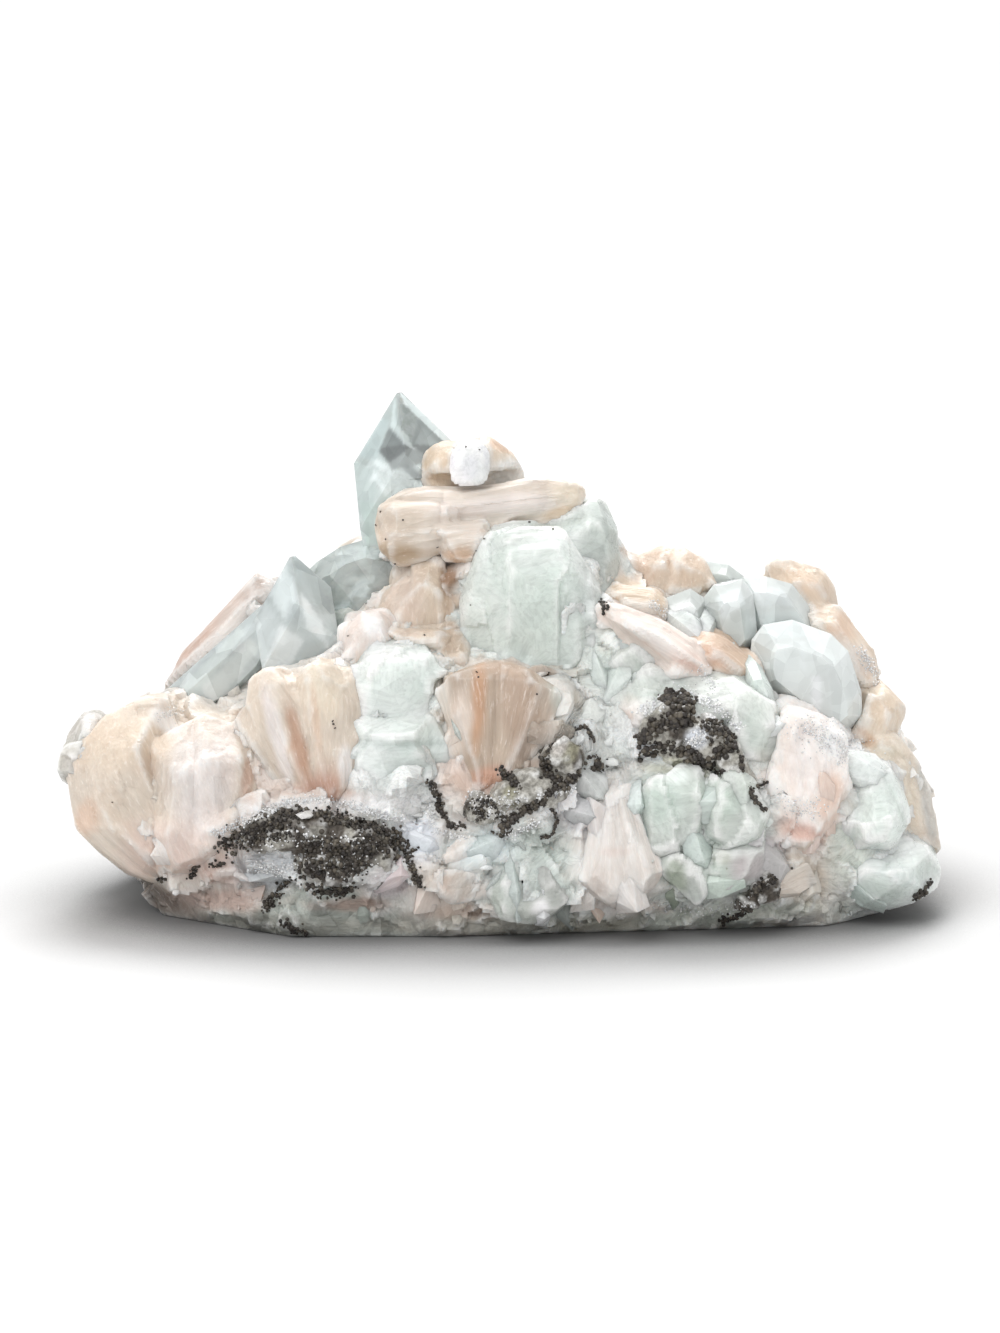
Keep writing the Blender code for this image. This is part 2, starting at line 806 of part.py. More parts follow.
def right_shoulder(cluster):
    """The glassy crystals, the peach pair and the fingers that make the right shoulder."""
    cluster.grow(
        "apophyllite_group_right",
        "clear_apophyllite",
        block(
            [(750, 666), (753, 640), (764, 626), (792, 621), (830, 635), (847, 652), (860, 692), (861, 716),
             (843, 737), (820, 738), (788, 712), (758, 694)],
            front=-19.5, rim=-14, back=0, lean=32, facets=[((830, 690), (0.9, 0.1), 22)],
        ),
        block(
            [
                (740, 596), (744, 578), (766, 578), (791, 585), (806, 604), (822, 632),
                (812, 660), (756, 650),
            ],
            front=-8.5, rim=-5, back=12, tail=5,
        ),
        block(
            [(656, 618), (664, 600), (690, 590), (706, 600), (712, 630), (700, 650), (676, 648)],
            front=-12.5, rim=-9, back=8,
        ),
        block(
            [(700, 604), (714, 586), (742, 580), (752, 594), (758, 640), (740, 664), (712, 650)],
            front=-13.5, rim=-9, back=8,
        ),
    )
    cluster.grow(
        "stilbite_pair_right",
        "peach_stilbite",
        block([(621, 574), (637, 560), (663, 547), (672, 553), (690, 585), (660, 612), (632, 604)],
              front=-4.5, rim=-1, back=12, tail=5),
        block([(664, 556), (680, 548), (702, 560), (714, 580), (714, 602), (690, 612), (660, 596)],
              front=-5, rim=-1.5, back=12, tail=5),
    )
    cluster.grow(
        "stilbite_stub_right",
        "peach_stilbite",
        block([(606, 596), (616, 587), (655, 591), (668, 604), (664, 630), (630, 624), (608, 610)],
              front=-13.5, rim=-10.5, back=2),
    )
    cluster.grow(
        "apophyllite_block_right_back",
        "clear_apophyllite",
        block([(694, 572), (703, 562), (728, 566), (744, 578), (756, 620), (690, 620)],
              front=3.5, rim=6, back=19, tail=5),
    )
    cluster.grow(
        "stilbite_finger_far_right",
        "peach_stilbite",
        block(
            [
                (762, 582), (766, 568), (784, 560), (824, 573), (834, 588), (838, 612),
                (836, 650), (800, 640), (770, 606),
            ],
            front=-3.5, rim=0.5, back=13, tail=5,
        ),
        block(
            [
                (796, 604), (838, 608), (860, 634), (875, 654), (880, 676), (870, 700),
                (842, 690), (806, 640),
            ],
            front=-8.5, rim=-4, back=10, tail=5,
        ),
    )
    cluster.grow(
        "stilbite_fan_right",
        "peach_stilbite",
        block([(846, 736), (858, 694), (878, 678), (903, 704), (902, 716), (893, 738), (880, 752),
               (856, 750)],
              front=-15, rim=-10, back=7, tail=5),
        block(
            [(856, 752), (876, 730), (896, 735), (917, 762), (929, 792), (936, 830), (941, 858), (930, 872),
             (880, 870), (858, 800)],
            front=-20.5, rim=-14, back=10, lean=32, facets=[((890, 790), (0.9, 0.2), 20)], tail=9,
        ),
    )


def upper_left(cluster):
    """The tall glassy point with the mass at its foot, and the blade behind the left pair."""
    cluster.grow(
        "apophyllite_point_top",
        "clear_apophyllite",
        crystal((-11.2, 5.5, 38), (-17.2, 3, 84.9), (17.4, 15.5), skew=(0.4, 0, 0, 0.3)),
        block(
            [
                (292, 612), (300, 580), (318, 563), (341, 548), (366, 540), (440, 556),
                (456, 640), (400, 672), (300, 660),
            ],
            front=-6, rim=-2, back=15, lean=32, facets=[((352, 600), (-0.7, -0.6), 18)], tail=6,
        ),
    )
    cluster.grow(
        "stilbite_blade_left_back",
        "peach_stilbite",
        block(
            [(140, 699), (164, 673), (182, 654), (196, 622), (218, 593), (241, 571), (252, 567), (262, 571),
             (270, 600), (262, 650), (190, 712)],
            front=-2.5, rim=1, back=10, tail=4,
        ),
    )
    cluster.grow(
        "apophyllite_lump_far_left",
        "milky_apophyllite",
        chunk(seen(90, 752, -13), (4.2, 10.5, 4.8), seed=3, faces=14),
        chunk(seen(74, 766, -15), (2.6, 6.0, 2.6), seed=5),
    )


# The back


def back_growth(cluster):
    """Crystals on the far side, of the same kinds and sizes as those of the show side."""
    cluster.grow(
        "apophyllite_point_back",
        "clear_apophyllite",
        crystal((-4, 10, 36), (-1, 24, 66), (14, 14), turn=20),
    )
    cluster.grow(
        "apophyllite_block_back_right",
        "milky_apophyllite",
        crystal(
            (22, 9, 24), (29, 29, 48), (19, 17), turn=14, cap=11,
            cuts=[((0.7, 0.5, 0.5), 12.5)],
        ),
    )
    cluster.grow(
        "apophyllite_block_back_left",
        "milky_apophyllite",
        crystal(
            (-30, 6, 20), (-40, 28, 44), (17, 16), turn=-12, cap=11,
            cuts=[((-0.6, 0.6, 0.5), 12)],
        ),
    )
    cluster.grow(
        "apophyllite_point_back_low",
        "clear_apophyllite",
        crystal((46, 10, 14), (60, 30, 32), (11.5, 11), turn=30),
    )
    cluster.grow(
        "stilbite_bow_tie_back",
        "peach_stilbite",
        sheaf(
            (-31, 24, 45), (2, 33, 42),
            [(0, 3, 4), (0.12, 5.6, 6), (0.45, 4.2, 5), (0.85, 5.6, 6), (1, 3, 3.6)],
            turn=90, power=3, blades=5, size=(14, 10),
        ),
    )
    cluster.grow(
        "stilbite_fan_back",
        "peach_stilbite",
        sheaf(
            (6, 20, 6), (4, 38, 33),
            [(0, 4, 4), (0.3, 8, 6), (0.7, 15, 8), (0.9, 15, 7.5), (1, 11, 5)],
            power=2.8, blades=6, arc=6, size=(18, 9),
        ),
    )
    cluster.grow(
        "stilbite_fan_back_left",
        "peach_stilbite",
        sheaf(
            (-36, 12, 4), (-59, 23, 24),
            [(0, 4, 4), (0.35, 8.5, 8), (0.75, 12, 9), (1, 8, 6)],
            power=2.8, blades=5, arc=4, size=(14, 8),
        ),
    )
    cluster.grow(
        "stilbite_sheaf_back_right",
        "peach_stilbite",
        sheaf(
            (34, 16, 6), (41, 36, 26),
            [(0, 3, 3), (0.4, 7, 5.5), (0.8, 9.4, 6.4), (1, 6, 4)],
            power=2.8, blades=5, arc=3, size=(14, 8),
        ),
    )


# The back's broken patches: name, mineral, seed, and the middle, spread and size of its chunks
BACK_PATCHES = [
    ("stilbite_patch_back_left", "peach_stilbite", 31, (-22, 35, 25), (8, 1, 6), (8.5, 6.0, 7.0)),
    ("apophyllite_patch_back_left", "milky_apophyllite", 32, (-33, 32, 9), (9, 1, 3), (7.5, 5.5, 5.5)),
    ("stilbite_patch_back_centre", "white_stilbite", 33, (-8, 35, 10), (7, 1, 4), (7.0, 5.0, 5.0)),
    ("apophyllite_patch_back_right", "milky_apophyllite", 34, (20, 35, 12), (7, 1, 5), (7.0, 5.0, 6.0)),
    ("stilbite_patch_back_right", "peach_stilbite", 35, (34, 30, 33), (6, 2, 4), (6.5, 5.5, 6.0)),
    ("apophyllite_patch_back_top", "clear_apophyllite", 36, (12, 24, 47), (7, 2, 3), (5.5, 5.0, 5.5)),
    ("stilbite_patch_right", "white_stilbite", 37, (57, 22, 14), (2, 6, 5), (6.0, 6.5, 6.0)),
    ("apophyllite_patch_left", "milky_apophyllite", 38, (-51, 18, 26), (4, 5, 4), (6.0, 6.0, 5.0)),
    ("stilbite_patch_back_top", "peach_stilbite", 39, (-22, 21, 52), (5, 3, 2), (5.0, 4.5, 4.5)),
]
PATCH_CHUNKS = 3
PATCH_OVERLAP = 0.8


def back_patches(cluster):
    """Broken crystals that cover the far side in low patches."""
    for name, mineral, seed, middle, spread, size in BACK_PATCHES:
        chance = random.Random(seed)
        chunks = []
        for k in range(PATCH_CHUNKS):
            turn = math.tau * k / PATCH_CHUNKS
            around = (math.cos(turn), chance.uniform(-1, 1), math.sin(turn))
            centre = [middle[i] + spread[i] * around[i] * PATCH_OVERLAP for i in range(3)]
            half = [size[i] * chance.uniform(0.75, 1.15) for i in range(3)]
            centre[2] = max(centre[2], half[2] + CLEAR_OF_FLOOR)
            chunks.append(chunk(centre, half, seed=100 * seed + k))
        cluster.grow(name, mineral, *chunks)


def main():
    clear_scene()
    cluster = Cluster()
    cluster.grow("matrix", "matrix", matrix_core, *matrix_chunks())
    druse_crusts(cluster)
    top_sheaf(cluster)
    left_front(cluster)
    centre_front(cluster)
    centre_blocks(cluster)
    right_front(cluster)
    low_front(cluster)
    right_shoulder(cluster)
    upper_left(cluster)
    back_growth(cluster)
    back_patches(cluster)
    cluster.settle()


main()
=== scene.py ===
"""The looks of the apophyllite and stilbite cluster: broken mineral surfaces over its solids,
their colours, the dark druse, and a plain studio round them.

Lengths are in millimetres until a mesh is made. Places on the show side are given as they are
seen in the camera's picture: u runs to the right and v runs down, and a depth y says how far
back the place lies.
"""

import itertools
import math
import random

import bmesh
import bpy
import numpy as np
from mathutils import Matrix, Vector
from mathutils.bvhtree import BVHTree
from mathutils.kdtree import KDTree


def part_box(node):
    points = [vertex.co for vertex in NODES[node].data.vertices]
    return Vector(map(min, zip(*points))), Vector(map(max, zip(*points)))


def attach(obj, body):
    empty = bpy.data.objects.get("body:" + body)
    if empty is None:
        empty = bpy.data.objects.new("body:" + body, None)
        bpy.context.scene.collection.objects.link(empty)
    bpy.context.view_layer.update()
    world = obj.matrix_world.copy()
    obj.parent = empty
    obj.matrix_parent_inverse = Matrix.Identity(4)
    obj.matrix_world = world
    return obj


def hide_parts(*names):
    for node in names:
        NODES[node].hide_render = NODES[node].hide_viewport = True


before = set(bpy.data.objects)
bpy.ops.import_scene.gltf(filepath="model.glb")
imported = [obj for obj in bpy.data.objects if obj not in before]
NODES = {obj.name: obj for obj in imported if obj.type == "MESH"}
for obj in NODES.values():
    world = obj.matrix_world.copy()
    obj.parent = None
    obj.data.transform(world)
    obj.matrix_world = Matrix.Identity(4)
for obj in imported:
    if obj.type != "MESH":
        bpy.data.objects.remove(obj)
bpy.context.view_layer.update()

MM = 0.001

# The camera's view of the cluster
VIEW_TILT = math.radians(9)
VIEW_DISTANCE = 560.0
VIEW_UNIT = 0.1695
VIEW_MIDDLE = (500.0, 666.5)
PICTURE_HEIGHT = 1333
SENSOR = 36.0
TARGET = np.array((0.4651, -2.2812, 39.0))
FORWARD = np.array((0.0, math.cos(VIEW_TILT), -math.sin(VIEW_TILT)))
UP = np.array((0.0, math.sin(VIEW_TILT), math.cos(VIEW_TILT)))
EYE = TARGET - FORWARD * VIEW_DISTANCE

# Coarser meshes while trying things
COARSE = 1.0

# How far a piece looks for a neighbour, and how far it grows towards one
FARTHEST_REACH = 7.0
LONGEST_REACH = 2.7
REACH_START = 0.05
REACH_OVERLAP = 0.15
SHORT_REACHES = {
    "stilbite_bow_tie_top": 0.7, "apophyllite_button_top": 0.0, "stilbite_tablet_top": 0.6,
    "stilbite_barrel_centre": 1.5, "druse_crust_centre": 1.0,
    "stilbite_fan_low_centre": 1.8, "apophyllite_block_low_centre": 2.4,
    "apophyllite_lump_far_left": 1.0,
}

# The share of a piece's points that each cut leaves, at least
CUTS = {
    "apophyllite_block_low_centre": 0.955, "apophyllite_block_low_right": 0.955,
    "apophyllite_fan_low_left": 0.94, "stilbite_fan_low_centre": 0.97,
    "apophyllite_block_centre": 0.985, "apophyllite_block_middle": 0.975,
    "apophyllite_button_top": 1.0, "stilbite_tablet_top": 0.995, "stilbite_bow_tie_top": 0.99,
    "stilbite_fan_left": 0.993,
}

# How bright each kind of piece is painted
STILBITE_SHADE = 0.90
MILKY_SHADE = np.array((1.03, 1.0, 1.0))


# The view


def ray(u, v):
    """The direction from the eye through a place of the picture."""
    way = FORWARD * VIEW_DISTANCE + UP * (VIEW_MIDDLE[1] - v) * VIEW_UNIT
    way[0] += (u - VIEW_MIDDLE[0]) * VIEW_UNIT
    return way / np.linalg.norm(way)


def seen(u, v, y):
    """The place at depth y that lies behind (u, v). y is counted from the target's depth."""
    way = ray(u, v)
    depth = y + TARGET[1]
    return EYE + way * (depth - EYE[1]) / way[1]


def projected(points):
    """Where points are seen, as columns u and v."""
    away = points - EYE
    reach = away @ FORWARD
    u = VIEW_MIDDLE[0] + away[:, 0] / reach * VIEW_DISTANCE / VIEW_UNIT
    v = VIEW_MIDDLE[1] - (away @ UP) / reach * VIEW_DISTANCE / VIEW_UNIT
    return u, v


# Patterns over points

# The numbers that stir a whole-number place and a seed into chance
STIR_PLACE = (374761393, 668265263, 1442695041, 974634777)
STIR_ROUNDS = ((13, 1274126177), (15, 1103515245))
LAST_SHIFT = 16
WORD = 0xFFFFFFFF


def chance_at(i, j, k, seed):
    """A number from 0 to 1 that belongs to a whole-number place."""
    n = sum(value * factor for value, factor in zip((i, j, k, seed), STIR_PLACE)) & WORD
    for shift, factor in STIR_ROUNDS:
        n = ((n ^ (n >> shift)) * factor) & WORD
    return (n ^ (n >> LAST_SHIFT)) / WORD


def noise(points, size, seed):
    """Smooth noise from -1 to 1 whose bumps are about size across."""
    place = points / size
    base = np.floor(place).astype(np.int64)
    t = place - base
    t = t * t * (3 - 2 * t)
    total = np.zeros(len(points))
    for corner in itertools.product((0, 1), repeat=3):
        weight = np.prod(np.where(corner, t, 1 - t), axis=1)
        total += weight * chance_at(*(base + corner).T, seed)
    return total * 2 - 1


def fractal(points, size, seed, octaves):
    """Layers of noise, each half as large and half as strong as the one before."""
    total = np.zeros(len(points))
    for k in range(octaves):
        total += noise(points, size / 2**k, seed + 11 * k) * 0.5**k
    return total


def ridged(points, size, seed, octaves):
    """Noise from 0 to 1 with thin ridges at 1."""
    total = np.zeros(len(points))
    whole = 0.0
    for k in range(octaves):
        total += (1 - np.abs(noise(points, size / 2**k, seed + 7 * k))) * 0.5**k
        whole += 0.5**k
    return total / whole


def cells(points, size, seed):
    """Each point's nearest scattered centre: its own number, the way from it, and how far the
    border to the next one is.
    """
    place = points / size
    base = np.floor(place).astype(np.int64)
    nearest = np.full(len(points), np.inf)
    second = np.full(len(points), np.inf)
    own = np.zeros(len(points))
    away = np.zeros_like(points)
    for shift in itertools.product((-1, 0, 1), repeat=3):
        cell = base + shift
        jitter = np.stack([chance_at(*cell.T, seed + k) for k in range(3)], axis=1)
        offset = place - cell - jitter
        distance = (offset**2).sum(1)
        nearer = distance < nearest
        second = np.where(nearer, nearest, np.minimum(second, distance))
        nearest = np.where(nearer, distance, nearest)
        away[nearer] = offset[nearer]
        own[nearer] = chance_at(*cell.T, seed + 3)[nearer]
    return own, away * size, (np.sqrt(second) - np.sqrt(nearest)) * size


def broken(points, size, seed, step, tilt):
    """Heights of a surface broken into flat facets, each at its own level and tilt."""
    own, away, _ = cells(points, size, seed)
    turned = np.stack([np.modf(own * k)[0] * 2 - 1 for k in (917.13, 733.71, 541.37)], axis=1)
    return (own * 2 - 1) * step + (away * turned).sum(1) * tilt


def smooth(low, high, value):
    """0 up to low and 1 from high on, with a soft step between."""
    t = np.clip((value - low) / (high - low), 0, 1)
    return t * t * (3 - 2 * t)


def linear(colour):
    """A colour given from 0 to 255, as light."""
    share = np.asarray(colour, float) / 255
    return np.where(share <= 0.04045, share / 12.92, ((share + 0.055) / 1.055) ** 2.4)


# Fibres of the sheaves and fans

ACROSS = np.array((1.0, 0.0, 0.0))
UPRIGHT = np.array((0.0, 0.0, 1.0))

# How much a bow's fibres spread towards its ends, how soft the border between two fans is, and
# from which share on a fan counts
BOW_FLARE = 0.45
FAN_BORDER = 0.8
LEAST_SHARE = 0.002


class Fan:
    """Fibres that spread from a root towards a tip."""

    def __init__(self, root, tip, behind=8.0):
        self.root = np.asarray(root, float)
        along = np.asarray(tip, float) - self.root
        self.length = np.linalg.norm(along)
        self.axis = along / self.length
        side = ACROSS - self.axis * np.dot(ACROSS, self.axis)
        if np.linalg.norm(side) < 0.2:
            side = UPRIGHT - self.axis * self.axis[2]
        self.side = side / np.linalg.norm(side)
        self.other = np.cross(self.axis, self.side)
        self.behind = behind

    def spread(self, along):
        """What makes the fibres parallel at each place along them."""
        return (self.length * 0.6 + self.behind) / np.maximum(along + self.behind, 1.5)

    def lay(self, points):
        """Each point's place across the fibres, measured at mid-length, and along them."""
        away = points - self.root
        along = away @ self.axis
        spread = self.spread(along)
        return np.stack([away @ self.side * spread, away @ self.other * spread, along], axis=1)

    def far(self, points):
        """How far each point is from the axis."""
        t = np.clip((points - self.root) @ self.axis, 0, self.length)
        return np.linalg.norm(points - self.root - t[:, None] * self.axis, axis=1)


class Bow(Fan):
    """Fibres that run from end to end and spread a little towards both ends."""

    def spread(self, along):
        return 1 / (1 + BOW_FLARE * (along / self.length * 2 - 1) ** 2)


def laid_along(fans, points):
    """Places along the fibres of several fans, each point following the nearest ones."""
    far = np.array([fan.far(points) for fan in fans])
    weight = np.exp(-(far - far.min(0)) / FAN_BORDER)
    weight /= weight.sum(0)
    total = np.zeros_like(points)
    for fan, share in zip(fans, weight):
        near = share > LEAST_SHARE
        total[near] += fan.lay(points[near]) * share[near, None]
    return total


# Marks of the show side

# Shifts: a line, how far round it points are moved, and how far across and down the picture
SHIFTS = {
    "stilbite_bow_tie_top": [
        ([(372, 474), (450, 468), (520, 466), (560, 466)], 30, 0, 17),
        ([(466, 578), (480, 570)], 18, 4, -12),
        ([(520, 532), (584, 510)], 20, 0, -9),
    ],
    "stilbite_barrel_centre": [
        ([(398, 566), (400, 580)], 12, 9, 0), ([(446, 572), (446, 580)], 10, -4, 0),
        ([(382, 606), (384, 630)], 18, -5, 0), ([(452, 600), (452, 630)], 18, 7, 0),
    ],
    "apophyllite_button_top": [
        ([(456, 482), (457, 484)], 11, -4, 0), ([(489, 482), (488, 484)], 11, 4, 0),
        ([(471, 492), (474, 492)], 11, 0, -4),
    ],
    "apophyllite_lump_far_left": [([(52, 700), (52, 780)], 40, 9, 2)],
    "apophyllite_block_centre": [
        ([(500, 534), (560, 522), (600, 506)], 18, 0, -6), ([(450, 570), (452, 600)], 16, 7, 0),
        ([(630, 545), (632, 600)], 16, -7, 0),
    ],
    "stilbite_fan_centre": [
        ([(424, 680), (430, 720)], 20, 12, 0), ([(584, 680), (578, 720)], 20, -12, 0),
    ],
    "stilbite_fan_low_centre": [
        ([(570, 900), (590, 912)], 18, 7, -6), ([(655, 900), (640, 912)], 18, -5, -6),
    ],
}

# Grooves: a line, how wide it is, and how deep in mm. A depth below 0 is a ridge.
GROOVES = {
    "stilbite_bow_tie_top": [
        ([(378, 526), (420, 524), (470, 520), (530, 522)], 5, 0.9),
        ([(400, 531), (440, 528), (500, 525)], 3, 0.5),
        ([(440, 541), (470, 532), (520, 528)], 3, 0.6),
        ([(443, 492), (441, 520)], 2, 0.5),
        ([(545, 486), (548, 500), (540, 515)], 3, 0.3),
    ],
    "stilbite_twin_sheaf_left": [
        ([(286, 668), (296, 720), (312, 770), (326, 812)], 7, 1.5),
        ([(262, 690), (278, 740), (300, 790)], 3, 0.6),
        ([(345, 690), (340, 740), (338, 790)], 3, 0.5),
        ([(306, 668), (312, 720), (322, 780)], 4, -0.5),
    ],
    "stilbite_fan_left": [
        ([(192, 722), (193, 770), (196, 820)], 3, 0.8),
        ([(160, 735), (168, 800), (180, 860)], 4, 0.5),
        ([(236, 720), (240, 770), (232, 830)], 4, -0.6),
        ([(120, 810), (160, 860), (186, 884)], 5, 0.5),
        ([(262, 756), (250, 800), (236, 840)], 3, 0.5),
    ],
    "stilbite_fan_centre": [
        ([(497, 665), (495, 720), (492, 785)], 2.5, 0.5),
        ([(462, 685), (475, 730), (487, 780)], 3, 0.4),
        ([(540, 690), (520, 740), (500, 785)], 3, -0.5),
    ],
    "stilbite_barrel_centre": [
        ([(436, 566), (440, 600), (438, 640)], 3, -0.3),
        ([(384, 644), (420, 650), (460, 652)], 3, 0.6),
    ],
    "apophyllite_block_middle": [([(346, 738), (390, 746), (438, 744)], 4, 0.9)],
    "apophyllite_block_centre": [
        ([(512, 556), (510, 620), (506, 690)], 2.5, -0.35),
        ([(586, 560), (594, 600), (592, 650)], 2, -0.35),
        ([(490, 545), (530, 538), (562, 536)], 3, -0.4),
    ],
    "stilbite_blade_right": [([(604, 610), (650, 632), (704, 668)], 2.5, -0.4)],
    "stilbite_fan_right": [([(912, 762), (926, 800), (934, 850)], 3, 0.5)],
    "stilbite_wall_right": [
        ([(800, 722), (806, 770), (800, 816)], 3, 0.5), ([(776, 820), (800, 830), (820, 840)], 4, 0.8),
    ],
    "apophyllite_block_low_right": [
        ([(848, 846), (872, 858), (896, 880)], 3, -0.5), ([(900, 846), (884, 870)], 3, 0.4),
    ],
}

# Painted light: from where to where down the picture a piece is painted brighter, and by how much, where
# its lower, downward-facing part falls into shade
PAINTED_LIGHT_BELOW = {"stilbite_fan_left": (780, 880, 0.22), "stilbite_fan_right": (740, 820, 0.08)}
